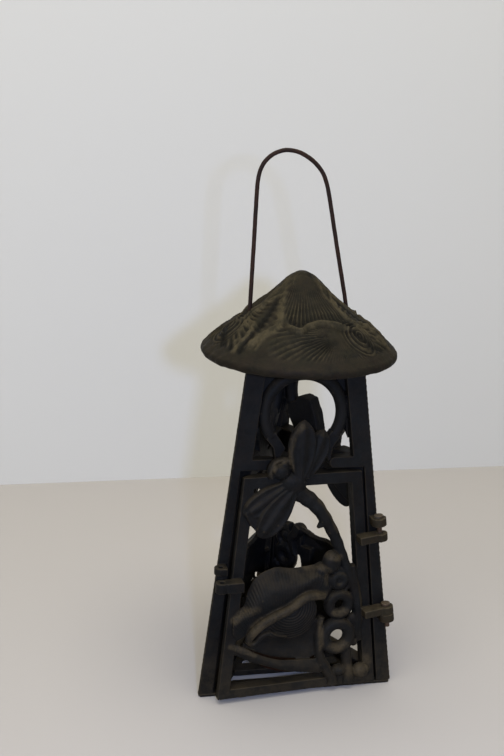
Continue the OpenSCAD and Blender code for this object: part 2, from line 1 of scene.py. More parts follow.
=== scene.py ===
"""The looks of the three-sided candle lantern, built around its packed construction.

The door and the two rear panels are cast here as one piece each, with the dragonfly and the lotus leaf sculpted on
them. The roof is a round shell with leaves in relief. The plain castings, the wire and the fasteners are recast
from their own solids, so that their edges are as soft as old iron's. Lengths are in millimetres until a mesh is made.
"""

import json
import logging
import math
from collections.abc import Callable
from dataclasses import dataclass, field
from enum import Enum

import bmesh
import bpy
import numpy as np
from mathutils import Matrix, Vector
from mathutils.bvhtree import BVHTree

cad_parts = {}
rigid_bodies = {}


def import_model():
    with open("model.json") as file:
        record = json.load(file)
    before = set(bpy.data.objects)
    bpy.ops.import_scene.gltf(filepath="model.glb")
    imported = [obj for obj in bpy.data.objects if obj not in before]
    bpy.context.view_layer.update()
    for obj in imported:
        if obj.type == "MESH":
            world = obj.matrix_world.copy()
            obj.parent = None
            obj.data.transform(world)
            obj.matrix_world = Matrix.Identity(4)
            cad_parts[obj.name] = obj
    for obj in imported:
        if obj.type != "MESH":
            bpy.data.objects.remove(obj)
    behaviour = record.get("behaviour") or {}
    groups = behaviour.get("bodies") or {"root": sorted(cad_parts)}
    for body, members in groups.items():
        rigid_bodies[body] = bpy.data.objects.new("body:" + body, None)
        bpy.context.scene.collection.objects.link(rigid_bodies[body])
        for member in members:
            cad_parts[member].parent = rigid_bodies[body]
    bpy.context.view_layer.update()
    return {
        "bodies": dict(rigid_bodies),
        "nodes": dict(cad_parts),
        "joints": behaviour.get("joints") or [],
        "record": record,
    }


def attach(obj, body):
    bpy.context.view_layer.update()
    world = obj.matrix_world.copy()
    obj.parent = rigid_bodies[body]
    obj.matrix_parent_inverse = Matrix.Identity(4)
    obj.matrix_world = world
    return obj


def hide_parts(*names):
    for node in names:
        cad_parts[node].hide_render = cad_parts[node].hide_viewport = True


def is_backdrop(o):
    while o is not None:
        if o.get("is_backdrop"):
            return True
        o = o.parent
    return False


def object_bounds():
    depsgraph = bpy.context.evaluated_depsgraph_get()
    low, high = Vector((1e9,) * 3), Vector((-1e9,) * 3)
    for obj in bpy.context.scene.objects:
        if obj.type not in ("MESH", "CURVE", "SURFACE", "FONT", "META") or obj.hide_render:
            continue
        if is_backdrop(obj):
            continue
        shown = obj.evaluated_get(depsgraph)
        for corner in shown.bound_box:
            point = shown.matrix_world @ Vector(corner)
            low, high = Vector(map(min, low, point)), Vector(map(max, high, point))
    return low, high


LOG = logging.getLogger("lantern")
MM = 0.001
# Mesh attribute: rubbed places above zero; on the roof, furrows below zero for painted shade.
RUBBED_AND_SHADE = "rubbed"
Part = tuple[np.ndarray, list]
Colour = tuple[float, float, float]


class Body(Enum):
    """The rigid bodies that the pieces ride on."""

    LANTERN = "lantern"
    DOOR = "door"


class Slot(Enum):
    """The record's material slots."""

    BODY = "body_iron"
    ROOF = "roof_iron"
    WIRE = "wire"
    CUP = "cup_steel"
    STEEL = "old_steel"


# Small shapes, as points in millimetres and faces


def grid_faces(rows: int, cols: int) -> list:
    """Faces of an open grid of points.

    Args:
        rows: Points along the first direction.
        cols: Points along the second direction.

    Returns:
        Four-cornered faces as lists of point numbers.
    """
    return [[i * cols + j, (i + 1) * cols + j, (i + 1) * cols + j + 1, i * cols + j + 1]
            for i in range(rows - 1) for j in range(cols - 1)]


def closed_sheet(front: np.ndarray, back: np.ndarray) -> Part:
    """A closed sheet between two grids of points that share their outline.

    Args:
        front: Grid of points on the outer side, rows by columns by three.
        back: Grid of the same shape on the inner side.

    Returns:
        The sheet's points and faces.
    """
    rows, cols = front.shape[:2]
    count = rows * cols
    faces = grid_faces(rows, cols)
    faces += [[count + k for k in reversed(face)] for face in faces]
    rim = [j for j in range(cols)] + [i * cols + cols - 1 for i in range(1, rows)]
    rim += [(rows - 1) * cols + j for j in range(cols - 2, -1, -1)] + [i * cols for i in range(rows - 2, 0, -1)]
    for k, here in enumerate(rim):
        after = rim[(k + 1) % len(rim)]
        faces.append([here, after, after + count, here + count])
    return np.concatenate([front.reshape(-1, 3), back.reshape(-1, 3)]), faces


def prism(outline: list, low: float, high: float) -> Part:
    """A straight prism over an outline in the panel's plane.

    Args:
        outline: Corners, across and up.
        low: Inner end, along the outward direction.
        high: Outer end.

    Returns:
        The prism's points and faces.
    """
    n = len(outline)
    points = np.array([[x, y, t] for t in (low, high) for x, y in outline], float)
    faces = [list(range(n - 1, -1, -1)), list(range(n, 2 * n))]
    faces += [[i, (i + 1) % n, (i + 1) % n + n, i + n] for i in range(n)]
    return points, faces


def box(low: tuple, high: tuple) -> Part:
    """A straight box between two corners."""
    outline = [(low[0], low[1]), (high[0], low[1]), (high[0], high[1]), (low[0], high[1])]
    return prism(outline, low[2], high[2])


def tube(path: np.ndarray, wide: np.ndarray, deep: np.ndarray, sides: int = 16, closed: bool = False) -> Part:
    """A tube of oval section along a path that lies about in the panel's plane.

    Args:
        path: Points of its middle line.
        wide: Half width across the path at each point.
        deep: Half depth outward at each point.
        sides: Points round the section.
        closed: Whether the path is a loop.

    Returns:
        The tube's points and faces.
    """
    path = np.asarray(path, float)
    n = len(path)
    ahead = np.roll(path, -1, 0) if closed else path[np.minimum(np.arange(n) + 1, n - 1)]
    behind = np.roll(path, 1, 0) if closed else path[np.maximum(np.arange(n) - 1, 0)]
    run = ahead - behind
    side = np.stack([-run[:, 1], run[:, 0], np.zeros(n)], 1)
    side /= np.maximum(np.linalg.norm(side, axis=1, keepdims=True), 1e-9)
    out = np.cross(run, side)
    out /= np.maximum(np.linalg.norm(out, axis=1, keepdims=True), 1e-9)
    turn = np.arange(sides) * 2 * math.pi / sides
    ring = (side[:, None] * np.cos(turn)[None, :, None] * np.asarray(wide, float)[:, None, None]
            + out[:, None] * np.sin(turn)[None, :, None] * np.asarray(deep, float)[:, None, None])
    points = (path[:, None] + ring).reshape(-1, 3)
    steps = range(n if closed else n - 1)
    faces = [[i * sides + k, i * sides + (k + 1) % sides, (i + 1) % n * sides + (k + 1) % sides,
              (i + 1) % n * sides + k] for i in steps for k in range(sides)]
    if not closed:
        faces += [list(range(sides - 1, -1, -1)), [(n - 1) * sides + k for k in range(sides)]]
    return points, faces


def blob(middle: tuple, radii: tuple, rings: int = 12) -> Part:
    """A rounded lump with three half sizes about its middle."""
    turn = np.linspace(0, math.pi, rings + 1)[1:-1]
    sides = 2 * rings
    around = np.arange(sides) * 2 * math.pi / sides
    body = [[math.sin(a) * math.cos(b), math.sin(a) * math.sin(b), math.cos(a)] for a in turn for b in around]
    points = np.array(body + [[0, 0, 1], [0, 0, -1]]) * np.array(radii) + np.array(middle)
    count = len(turn)
    top, foot = count * sides, count * sides + 1
    faces = [[i * sides + k, (i + 1) * sides + k, (i + 1) * sides + (k + 1) % sides, i * sides + (k + 1) % sides]
             for i in range(count - 1) for k in range(sides)]
    faces += [[top, k, (k + 1) % sides] for k in range(sides)]
    faces += [[foot, (count - 1) * sides + (k + 1) % sides, (count - 1) * sides + k] for k in range(sides)]
    return points, faces


def curve(points: list, steps: int) -> np.ndarray:
    """A smooth curve through points of any dimension.

    Args:
        points: The points that it passes.
        steps: Steps between one point and the next.

    Returns:
        The curve's points.
    """
    p = np.asarray(points, float)
    n = len(p)
    out = []
    for i in range(n - 1):
        a, b, c, d = p[max(i - 1, 0)], p[i], p[i + 1], p[min(i + 2, n - 1)]
        for t in np.arange(steps) / steps:
            out.append(b + ((c - a) + ((2 * a - 5 * b + 4 * c - d) + (3 * b - a - 3 * c + d) * t) * t) * t / 2)
    return np.array(out + [p[-1]])


def patch(rows: list, across: int, along: int) -> np.ndarray:
    """A smooth surface through rows of points.

    Args:
        rows: Rows with the same number of points each.
        across: Steps between one row and the next.
        along: Steps between one point of a row and the next.

    Returns:
        A grid of points.
    """
    fine = np.array([curve(row, along) for row in rows])
    return np.swapaxes(np.array([curve(fine[:, k], across) for k in range(fine.shape[1])]), 0, 1)


def sheet_normals(grid: np.ndarray) -> np.ndarray:
    """Unit normals of a grid of points."""
    normal = np.cross(np.gradient(grid, axis=0), np.gradient(grid, axis=1))
    return normal / np.maximum(np.linalg.norm(normal, axis=2, keepdims=True), 1e-9)


def thick_sheet(grid: np.ndarray, thickness: float) -> Part:
    """A surface with a thickness behind it, away from the viewer."""
    normal = sheet_normals(grid)
    if normal[..., 2].mean() < 0:
        normal = -normal
    return closed_sheet(grid, grid - normal * thickness)


def moved(part: Part, matrix: Matrix) -> Part:
    """A part carried by a matrix."""
    m = np.array(matrix)
    return part[0] @ m[:3, :3].T + m[:3, 3], part[1]


# Making objects


def make_object(name: str, points: np.ndarray, faces: list) -> bpy.types.Object:
    """A mesh object from points in millimetres."""
    mesh = bpy.data.meshes.new(name)
    mesh.from_pydata((points * MM).tolist(), [], faces)
    mesh.update()
    made = bpy.data.objects.new(name, mesh)
    bpy.context.scene.collection.objects.link(made)
    return made


def joined(parts: list) -> Part:
    """Several parts as one list of points and faces."""
    points, faces, start = [], [], 0
    for part_points, part_faces in parts:
        points.append(part_points)
        faces += [[k + start for k in face] for face in part_faces]
        start += len(part_points)
    return np.concatenate(points), faces


def outward(part: Part) -> Part:
    """The same part with its faces turned outward."""
    mesh = bpy.data.meshes.new("turned")
    mesh.from_pydata(part[0].tolist(), [], part[1])
    work = bmesh.new()
    work.from_mesh(mesh)
    bmesh.ops.recalc_face_normals(work, faces=work.faces)
    points = np.array([v.co for v in work.verts])
    faces = [[v.index for v in f.verts] for f in work.faces]
    work.free()
    bpy.data.meshes.remove(mesh)
    return points, faces


def clipped(part: Part, planes: list) -> Part:
    """A part cut back by planes, and closed again where they cut it.

    Args:
        part: The part, in any units.
        planes: Pairs of a point on the plane and the normal of the side that goes.

    Returns:
        What is left of the part.
    """
    mesh = bpy.data.meshes.new("clip")
    mesh.from_pydata(part[0].tolist(), [], part[1])
    work = bmesh.new()
    work.from_mesh(mesh)
    for point, normal in planes:
        everything = work.verts[:] + work.edges[:] + work.faces[:]
        cut = bmesh.ops.bisect_plane(work, geom=everything, plane_co=point, plane_no=normal, clear_outer=True)
        edges = [e for e in cut["geom_cut"] if isinstance(e, bmesh.types.BMEdge)]
        if edges:
            bmesh.ops.holes_fill(work, edges=edges)
    bmesh.ops.recalc_face_normals(work, faces=work.faces)
    work.verts.index_update()
    points = np.array([v.co for v in work.verts])
    faces = [[v.index for v in f.verts] for f in work.faces]
    work.free()
    bpy.data.meshes.remove(mesh)
    return points, faces


def pressed(part: Part, planes: list) -> Part:
    """A part whose points past a plane are pressed back onto it.

    Args:
        part: The part, in any units.
        planes: Pairs of a point on the plane and the normal of the side that stays free.

    Returns:
        The pressed part.
    """
    points = part[0].copy()
    for point, normal in planes:
        past = np.maximum((points - np.array(point)) @ np.array(normal), 0)
        points -= past[:, None] * np.array(normal)
    return points, part[1]


def apply_modifiers(piece: bpy.types.Object) -> None:
    """Gives a piece the mesh that its modifiers make."""
    graph = bpy.context.evaluated_depsgraph_get()
    fresh = bpy.data.meshes.new_from_object(piece.evaluated_get(graph))
    old = piece.data
    piece.modifiers.clear()
    piece.data = fresh
    bpy.data.meshes.remove(old)


def points_of(mesh: bpy.types.Mesh) -> tuple[np.ndarray, np.ndarray]:
    """A mesh's points in millimetres, and their normals."""
    n = len(mesh.vertices)
    place, normal = np.empty(n * 3), np.empty(n * 3)
    mesh.vertices.foreach_get("co", place)
    mesh.vertices.foreach_get("normal", normal)
    return place.reshape(-1, 3) / MM, normal.reshape(-1, 3)


def set_points(mesh: bpy.types.Mesh, place: np.ndarray) -> None:
    """Moves a mesh's points to places in millimetres."""
    mesh.vertices.foreach_set("co", (place * MM).ravel())
    mesh.update()


def waves(place: np.ndarray, size: float, seed: int) -> np.ndarray:
    """A smooth uneven field over space, made of a few crossing waves.

    Args:
        place: Points in millimetres.
        size: Length of a wave in millimetres.
        seed: Which field.

    Returns:
        A value from about -1 to 1 for each point.
    """
    draw = np.random.default_rng(seed)
    field_sum = np.zeros(len(place))
    count = 7
    for _ in range(count):
        heading = draw.normal(size=3)
        heading *= 2 * math.pi / size / np.linalg.norm(heading) * draw.uniform(0.6, 1.5)
        field_sum += np.sin(place @ heading + draw.uniform(0, 2 * math.pi))
    return field_sum / math.sqrt(count) / 1.4


def line_distance(spots: np.ndarray, line: np.ndarray) -> np.ndarray:
    """Distance of plan points from a line of points."""
    best = np.full(len(spots), np.inf)
    for a, b in zip(line[:-1], line[1:]):
        run = b - a
        share = np.clip((spots - a) @ run / max(run @ run, 1e-9), 0, 1)
        best = np.minimum(best, np.linalg.norm(spots - a - share[:, None] * run, axis=1))
    return best


@dataclass
class Casting:
    """One cast piece: overlapping parts that are melted together and roughened."""

    name: str
    body: Body
    slot: Slot
    place: Matrix = field(default_factory=lambda: Matrix.Identity(4))
    voxel: float = 0.45
    smoothing: int = 2
    rough: float = 0.09
    flat_rough: float = 0.35
    floor: float = -math.inf
    seed: int = 1
    true_parts: list = field(default_factory=list)
    soft_parts: list = field(default_factory=list)
    rubbed: list = field(default_factory=list)

    def bar(self, part: Part) -> None:
        """Adds a part with flat faces that stay true, in the casting's own millimetres."""
        self.true_parts.append(outward(part))

    def add(self, part: Part) -> None:
        """Adds a sculpted part, in the casting's own millimetres."""
        self.soft_parts.append(outward(part))

    @property
    def detail(self) -> float:
        return self.voxel * 1

    def settle(self, place: np.ndarray) -> np.ndarray:
        """Puts the points beside the bars' true faces back on them.

        Args:
            place: Points in millimetres, which are changed.

        Returns:
            True for each point that lies on a true face.
        """
        held = np.zeros(len(place), bool)
        if self.true_parts:
            points, faces = joined(self.true_parts)
            tree = BVHTree.FromPolygons(points.tolist(), faces)
            reach = self.detail * 1.3
            for i, spot in enumerate(place.tolist()):
                nearest = tree.find_nearest(spot, reach)[0]
                if nearest is not None:
                    place[i] = nearest
                    held[i] = True
        return held

    def rub(self, mesh: bpy.types.Mesh, place: np.ndarray, normal: np.ndarray) -> None:
        """Marks the rubbed, dusty places of the casting for its finish.

        Args:
            mesh: The casting's mesh.
            place: Its points in millimetres.
            normal: Their normals.
        """
        if not self.rubbed:
            return
        mark = np.zeros(len(place))
        front = np.clip(normal[:, 2] * 2 + 0.6, 0, 1)
        for line, reach in self.rubbed:
            near = line_distance(place[:, :2], np.array(line, float))
            mark = np.maximum(mark, np.clip(1.6 - near / reach, 0, 1) * front)
        made = mesh.attributes.new(RUBBED_AND_SHADE, "FLOAT", "POINT")
        made.data.foreach_set("value", mark)

    def pour(self, sculpt: Callable | None = None) -> bpy.types.Object:
        """Melts the parts together.

        Args:
            sculpt: Takes points and normals and returns how far each point moves along its normal.

        Returns:
            The finished piece, in its place and riding on its body.
        """
        piece = make_object(self.name, *joined(self.true_parts + self.soft_parts))
        melt = piece.modifiers.new("melt", "REMESH")
        melt.mode = "VOXEL"
        melt.voxel_size = self.detail * MM
        soften = piece.modifiers.new("soften", "SMOOTH")
        soften.factor = 0.5
        soften.iterations = self.smoothing
        apply_modifiers(piece)
        place, normal = points_of(piece.data)
        held = self.settle(place)
        lift = self.rough * (waves(place, 9, self.seed) + 0.6 * waves(place, 4, self.seed + 1)) / 1.6
        lift = lift * np.where(held, self.flat_rough, 1)
        if sculpt:
            lift = lift + np.where(held, 0, sculpt(place, normal))
        place += normal * lift[:, None]
        place[:, 2] = np.maximum(place[:, 2], self.floor)
        set_points(piece.data, place)
        self.rub(piece.data, place, normal)
        piece.data.transform(self.place)
        for face in piece.data.polygons:
            face.use_smooth = True
        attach(piece, self.body.value)
        LOG.info("%s: %d faces", self.name, len(piece.data.polygons))
        return piece


def combine(piece: bpy.types.Object, tools: list, operation: str) -> None:
    """Joins closed parts to a piece, or cuts them out of it.

    Args:
        piece: The piece, which gets a new mesh.
        tools: Parts in millimetres.
        operation: UNION or DIFFERENCE.
    """
    for part in tools:
        tool = make_object("tool", *outward(part))
        step = piece.modifiers.new("step", "BOOLEAN")
        step.object = tool
        step.operation = operation
        step.solver = "MANIFOLD"
        apply_modifiers(piece)
        bpy.data.objects.remove(tool)


def recast(node: bpy.types.Object, name: str, body: Body, slot: Slot, voxel: float, rough: float,
           extra: tuple = ()) -> bpy.types.Object:
    """A softened copy of a solid of the frame, which stands for it.

    Args:
        node: The solid's own object.
        name: Name of the new piece.
        body: What it rides on.
        slot: Its material slot.
        voxel: Detail size in millimetres.
        rough: Unevenness in millimetres.
        extra: Parts cast on to it, in the lantern's millimetres.

    Returns:
        The new piece.
    """
    casting = Casting(name, body, slot, voxel=voxel, rough=rough, flat_rough=1, seed=len(name))
    work = bmesh.new()
    work.from_mesh(node.data)
    bmesh.ops.remove_doubles(work, verts=work.verts, dist=1e-6)
    work.verts.index_update()
    points = np.array([v.co for v in work.verts]) / MM
    faces = [[v.index for v in f.verts] for f in work.faces]
    work.free()
    casting.true_parts.append((points, faces))
    for part in extra:
        casting.bar(part)
    piece = casting.pour()
    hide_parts(node.name)
    return piece


# Finishes


class Graph:
    """Places nodes in a material or a group and links them."""

    def __init__(self, tree: bpy.types.NodeTree) -> None:
        """Takes an empty tree."""
        self.tree = tree

    def node(self, kind: str, **values: object) -> bpy.types.Node:
        """A node of a kind, with its properties set."""
        made = self.tree.nodes.new(kind)
        for key, value in values.items():
            setattr(made, key, value)
        return made

    def feed(self, socket: bpy.types.NodeSocket, value: object) -> None:
        """Sets a socket to a value, or links it to another socket."""
        if isinstance(value, bpy.types.NodeSocket):
            self.tree.links.new(value, socket)
        elif isinstance(value, tuple) and len(value) == 3 and socket.type == "RGBA":
            socket.default_value = (*value, 1)
        else:
            socket.default_value = value

    def maths(self, operation: str, a: object, b: object = 0.0, clamp: bool = False) -> bpy.types.NodeSocket:
        """The result of one sum of two numbers."""
        made = self.node("ShaderNodeMath", operation=operation, use_clamp=clamp)
        self.feed(made.inputs[0], a)
        self.feed(made.inputs[1], b)
        return made.outputs[0]

    def mix(self, amount: object, a: object, b: object, blend: str = "MIX") -> bpy.types.NodeSocket:
        """Two colours mixed by an amount."""
        made = self.node("ShaderNodeMix", data_type="RGBA", blend_type=blend)
        self.feed(made.inputs["Factor"], amount)
        self.feed(made.inputs[6], a)
        self.feed(made.inputs[7], b)
        return made.outputs[2]

    def ramp(self, value: object, low: float, high: float) -> bpy.types.NodeSocket:
        """A value spread smoothly from 0 at low to 1 at high."""
        made = self.node("ShaderNodeMapRange", interpolation_type="SMOOTHSTEP")
        self.feed(made.inputs["Value"], value)
        made.inputs["From Min"].default_value = low
        made.inputs["From Max"].default_value = high
        return made.outputs["Result"]

    def noise(self, place: object, scale: object, detail: float = 4.0, rough: float = 0.55) -> bpy.types.NodeSocket:
        """Noise over a place in metres, with a scale in bumps per metre."""
        made = self.node("ShaderNodeTexNoise")
        self.feed(made.inputs["Vector"], place)
        self.feed(made.inputs["Scale"], scale)
        made.inputs["Detail"].default_value = detail
        made.inputs["Roughness"].default_value = rough
        return made.outputs["Fac"]

    def group(self, tree: bpy.types.NodeTree, **values: object) -> bpy.types.Node:
        """A shared group, with its named inputs fed. An underscore in a name stands for a space."""
        made = self.node("ShaderNodeGroup", node_tree=tree)
        for key, value in values.items():
            self.feed(made.inputs[key.replace("_", " ")], value)
        return made


def new_group(name: str, inputs: dict, outputs: dict) -> tuple[Graph, dict, bpy.types.Node]:
    """An empty shader group with named sockets.

    Args:
        name: The group's name.
        inputs: Name to a default number, or None for a vector.
        outputs: Name to socket type.

    Returns:
        Its graph, its inputs by name and its output node.
    """
    tree = bpy.data.node_groups.new(name, "ShaderNodeTree")
    for key, value in inputs.items():
        kind = "NodeSocketVector" if value is None else "NodeSocketFloat"
        socket = tree.interface.new_socket(key, in_out="INPUT", socket_type=kind)
        if value is not None:
            socket.default_value = value
    for key, kind in outputs.items():
        tree.interface.new_socket(key, in_out="OUTPUT", socket_type=kind)
    graph = Graph(tree)
    start = graph.node("NodeGroupInput")
    end = graph.node("NodeGroupOutput")
    return graph, {s.name: s for s in start.outputs}, end


class Effects:
    """The shader groups that the finishes share."""

    def __init__(self) -> None:
        """Builds each group once."""
        self.dust = self._dust()
        self.mottle = self._mottle()
        self.wear = self._wear()
        self.grain = self._grain()

    def _dust(self) -> bpy.types.NodeTree:
        """Dust that settles where a surface looks up, in patches."""
        graph, given, end = new_group("Settled dust", {"Place": None, "Up": 0.0, "Amount": 1.0, "Patch Scale": 90.0},
                                      {"Mask": "NodeSocketFloat"})
        patches = graph.noise(given["Place"], given["Patch Scale"], 5, 0.65)
        fine = graph.noise(given["Place"], 900.0, 3)
        up = graph.ramp(given["Up"], 0.15, 0.85)
        mask = graph.maths("MULTIPLY", up, graph.ramp(patches, 0.3, 0.62))
        mask = graph.maths("MULTIPLY", mask, graph.maths("ADD", 0.55, graph.maths("MULTIPLY", fine, 0.8)))
        graph.feed(end.inputs["Mask"], graph.maths("MULTIPLY", mask, given["Amount"], True))
        return graph.tree

    def _mottle(self) -> bpy.types.NodeTree:
        """Large and small cloudy patches, from 0 to 1."""
        graph, given, end = new_group("Mottling", {"Place": None, "Scale": 60.0, "Contrast": 1.0},
                                      {"Mask": "NodeSocketFloat"})
        wide = graph.noise(given["Place"], given["Scale"], 5, 0.6)
        small = graph.noise(given["Place"], graph.maths("MULTIPLY", given["Scale"], 6.0), 3)
        total = graph.maths("ADD", graph.maths("MULTIPLY", wide, 0.7), graph.maths("MULTIPLY", small, 0.3))
        centred = graph.maths("MULTIPLY", graph.maths("SUBTRACT", total, 0.5), graph.maths("MULTIPLY", given["Contrast"], 3.0))
        graph.feed(end.inputs["Mask"], graph.maths("ADD", centred, 0.5, True))
        return graph.tree

    def _wear(self) -> bpy.types.NodeTree:
        """Raised edges that hands have rubbed, and painted shade in the hollows."""
        graph, given, end = new_group("Edge wear and hollow shade", {"Place": None, "Sharpness": 1.0},
                                      {"Edge": "NodeSocketFloat", "Hollow shade": "NodeSocketFloat"})
        shape = graph.node("ShaderNodeNewGeometry").outputs["Pointiness"]
        worn = graph.noise(given["Place"], 260.0, 4)
        lift = graph.maths("ADD", shape, graph.maths("MULTIPLY", graph.maths("SUBTRACT", worn, 0.5), 0.03))
        edge = graph.ramp(lift, 0.515, 0.56)
        # Painted shade: this mask darkens concave places, where shade falls.
        hollow = graph.ramp(graph.maths("SUBTRACT", 1.0, lift), 0.505, 0.56)
        graph.feed(end.inputs["Edge"], graph.maths("MULTIPLY", edge, given["Sharpness"], True))
        graph.feed(end.inputs["Hollow shade"], graph.maths("MULTIPLY", hollow, given["Sharpness"], True))
        return graph.tree

    def _grain(self) -> bpy.types.NodeTree:
        """The height of a sand-cast skin: fine grain with a few pits."""
        graph, given, end = new_group("Casting grain", {"Place": None, "Scale": 1100.0}, {"Height": "NodeSocketFloat"})
        fine = graph.noise(given["Place"], given["Scale"], 4, 0.6)
        broad = graph.noise(given["Place"], graph.maths("MULTIPLY", given["Scale"], 0.25), 3)
        total = graph.maths("ADD", graph.maths("MULTIPLY", fine, 0.5), graph.maths("MULTIPLY", broad, 0.7))
        graph.feed(end.inputs["Height"], total)
        return graph.tree


@dataclass(frozen=True)
class Finish:
    """One weathered metal finish."""

    name: str
    dark: Colour
    light: Colour
    dust: Colour
    rust: Colour
    dust_amount: float = 1.0
    rust_amount: float = 0.3
    edge_amount: float = 0.5
    roughness: float = 0.55
    dust_roughness: float = 0.9
    metallic: float = 0.0
    specular: float = 0.07
    bump: float = 0.25
    patch_scale: float = 90.0
    cloud_scale: float = 55.0
    contrast: float = 1.0
    foot: tuple = (0.05, 0.0)
    foot_colour: Colour = (0.036, 0.029, 0.019)
    foot_amount: float = 0.0

    def build(self, effects: Effects) -> bpy.types.Material:
        """Makes the material.

        Args:
            effects: The shared shader groups.

        Returns:
            The material.
        """
        material = bpy.data.materials.new(self.name)
        material.use_nodes = True
        graph = Graph(material.node_tree)
        shader = material.node_tree.nodes["Principled BSDF"]
        spot = graph.node("ShaderNodeTexCoord")
        place = spot.outputs["Object"]
        split = graph.node("ShaderNodeSeparateXYZ")
        graph.feed(split.inputs[0], spot.outputs["Normal"])
        up = split.outputs["Z"]
        mottle = graph.group(effects.mottle, Place=place, Scale=self.cloud_scale, Contrast=self.contrast).outputs["Mask"]
        stain = graph.group(effects.mottle, Place=place, Scale=130.0, Contrast=2.2).outputs["Mask"]
        dust = graph.group(effects.dust, Place=place, Up=up, Amount=self.dust_amount,
                           Patch_Scale=self.patch_scale).outputs["Mask"]
        wear = graph.group(effects.wear, Place=place, Sharpness=1.0)
        where = graph.node("ShaderNodeSeparateXYZ")
        graph.feed(where.inputs[0], place)
        low = graph.ramp(where.outputs["Z"], *self.foot)
        patchy = graph.maths("ADD", 0.35, graph.maths("MULTIPLY", stain, 0.65))
        colour = graph.mix(mottle, self.dark, self.light)
        colour = graph.mix(graph.maths("MULTIPLY", stain, self.rust_amount), colour, self.rust)
        foot = graph.maths("MULTIPLY", graph.maths("MULTIPLY", low, patchy), self.foot_amount)
        colour = graph.mix(foot, colour, self.foot_colour)
        colour = graph.mix(graph.maths("MULTIPLY", wear.outputs["Edge"], self.edge_amount), colour, self.dust)
        colour = graph.mix(dust, colour, self.dust)
        mark = graph.node("ShaderNodeAttribute", attribute_name=RUBBED_AND_SHADE).outputs["Fac"]
        rubbed = graph.maths("MULTIPLY", mark, graph.maths("ADD", 0.25, graph.maths("MULTIPLY", stain, 0.5)), True)
        # Painted shade: the roof's furrows, marked below zero, are darkened below the iron's darkest tone.
        furrow_shade = graph.maths("MULTIPLY", mark, -0.8, True)
        colour = graph.mix(rubbed, colour, self.dust)
        colour = graph.mix(furrow_shade, colour, tuple(c * 0.4 for c in self.dark))
        # Painted shade: hollows are darkened below the iron's darkest tone.
        colour = graph.mix(graph.maths("MULTIPLY", wear.outputs["Hollow shade"], 0.6), colour,
                           tuple(c * 0.3 for c in self.dark))
        graph.feed(shader.inputs["Base Color"], colour)
        base = graph.maths("ADD", self.roughness, graph.maths("MULTIPLY", graph.maths("SUBTRACT", mottle, 0.5), 0.2))
        spread = graph.maths("MULTIPLY", dust, self.dust_roughness - self.roughness)
        graph.feed(shader.inputs["Roughness"], graph.maths("ADD", base, spread, True))
        shader.inputs["Metallic"].default_value = self.metallic
        shader.inputs["Specular IOR Level"].default_value = self.specular
        grain = graph.group(effects.grain, Place=place, Scale=1100.0).outputs["Height"]
        bump = graph.node("ShaderNodeBump")
        bump.inputs["Strength"].default_value = self.bump
        bump.inputs["Distance"].default_value = 0.0006
        graph.feed(bump.inputs["Height"], grain)
        graph.feed(shader.inputs["Normal"], bump.outputs["Normal"])
        return material


IRON = Finish("body iron", dark=(0.0034, 0.0037, 0.0041), light=(0.0088, 0.0092, 0.0096), dust=(0.052, 0.04, 0.024),
              rust=(0.014, 0.0085, 0.0055), dust_amount=0.4, rust_amount=0.2, edge_amount=0.3, foot_amount=0.5)
WORN_IRON = Finish("worn lug iron", dark=(0.01, 0.0085, 0.0062), light=(0.024, 0.02, 0.0125),
                   dust=(0.07, 0.055, 0.034), rust=(0.022, 0.013, 0.008), dust_amount=0.5, rust_amount=0.3,
                   edge_amount=0.35, roughness=0.6)
ROOF_IRON = Finish("roof iron", dark=(0.0048, 0.0045, 0.003), light=(0.0135, 0.012, 0.0072),
                   dust=(0.062, 0.05, 0.027), rust=(0.017, 0.0105, 0.0065), dust_amount=0.1, rust_amount=0.3,
                   edge_amount=0.35, roughness=0.7, specular=0.09, bump=0.6, foot=(0.2205, 0.2125),
                   foot_colour=(0.014, 0.009, 0.0065), foot_amount=0.4, cloud_scale=85.0, contrast=1.7)
WIRE = Finish("brown wire", dark=(0.012, 0.008, 0.0075), light=(0.022, 0.0135, 0.011), dust=(0.05, 0.033, 0.022),
              rust=(0.04, 0.018, 0.01), dust_amount=0.2, rust_amount=0.4, edge_amount=0.0, roughness=0.5)
CUP = Finish("rusty pan", dark=(0.014, 0.0075, 0.005), light=(0.03, 0.013, 0.008), dust=(0.05, 0.034, 0.02),
             rust=(0.045, 0.017, 0.008), dust_amount=0.3, rust_amount=0.6, roughness=0.8)
STEEL = Finish("dull steel", dark=(0.03, 0.026, 0.022), light=(0.07, 0.06, 0.05), dust=(0.12, 0.09, 0.055),
               rust=(0.08, 0.035, 0.015), dust_amount=0.6, rust_amount=0.4, roughness=0.5, metallic=0.4)


def wear(piece: bpy.types.Object, material: bpy.types.Material) -> None:
    """Gives a piece one material all over."""
    piece.data.materials.clear()
    piece.data.materials.append(material)


def wear_lugs(piece: bpy.types.Object, material: bpy.types.Material, place: Matrix, reach: float) -> None:
    """Gives the lugs that stand out on a face's hinge side a material of their own.

    Args:
        piece: The piece, with its main material on.
        material: The lugs' material.
        place: Carries the face's own metres into the lantern's.
        reach: How far in from the body's edge the lugs reach, in millimetres.
    """
    piece.data.materials.append(material)
    back = place.inverted()
    for face in piece.data.polygons:
        x, up, out = (back @ face.center) / MM
        if out > 0.5 and x > PANELS.half(up) - reach:
            face.material_index = 1


# The lantern


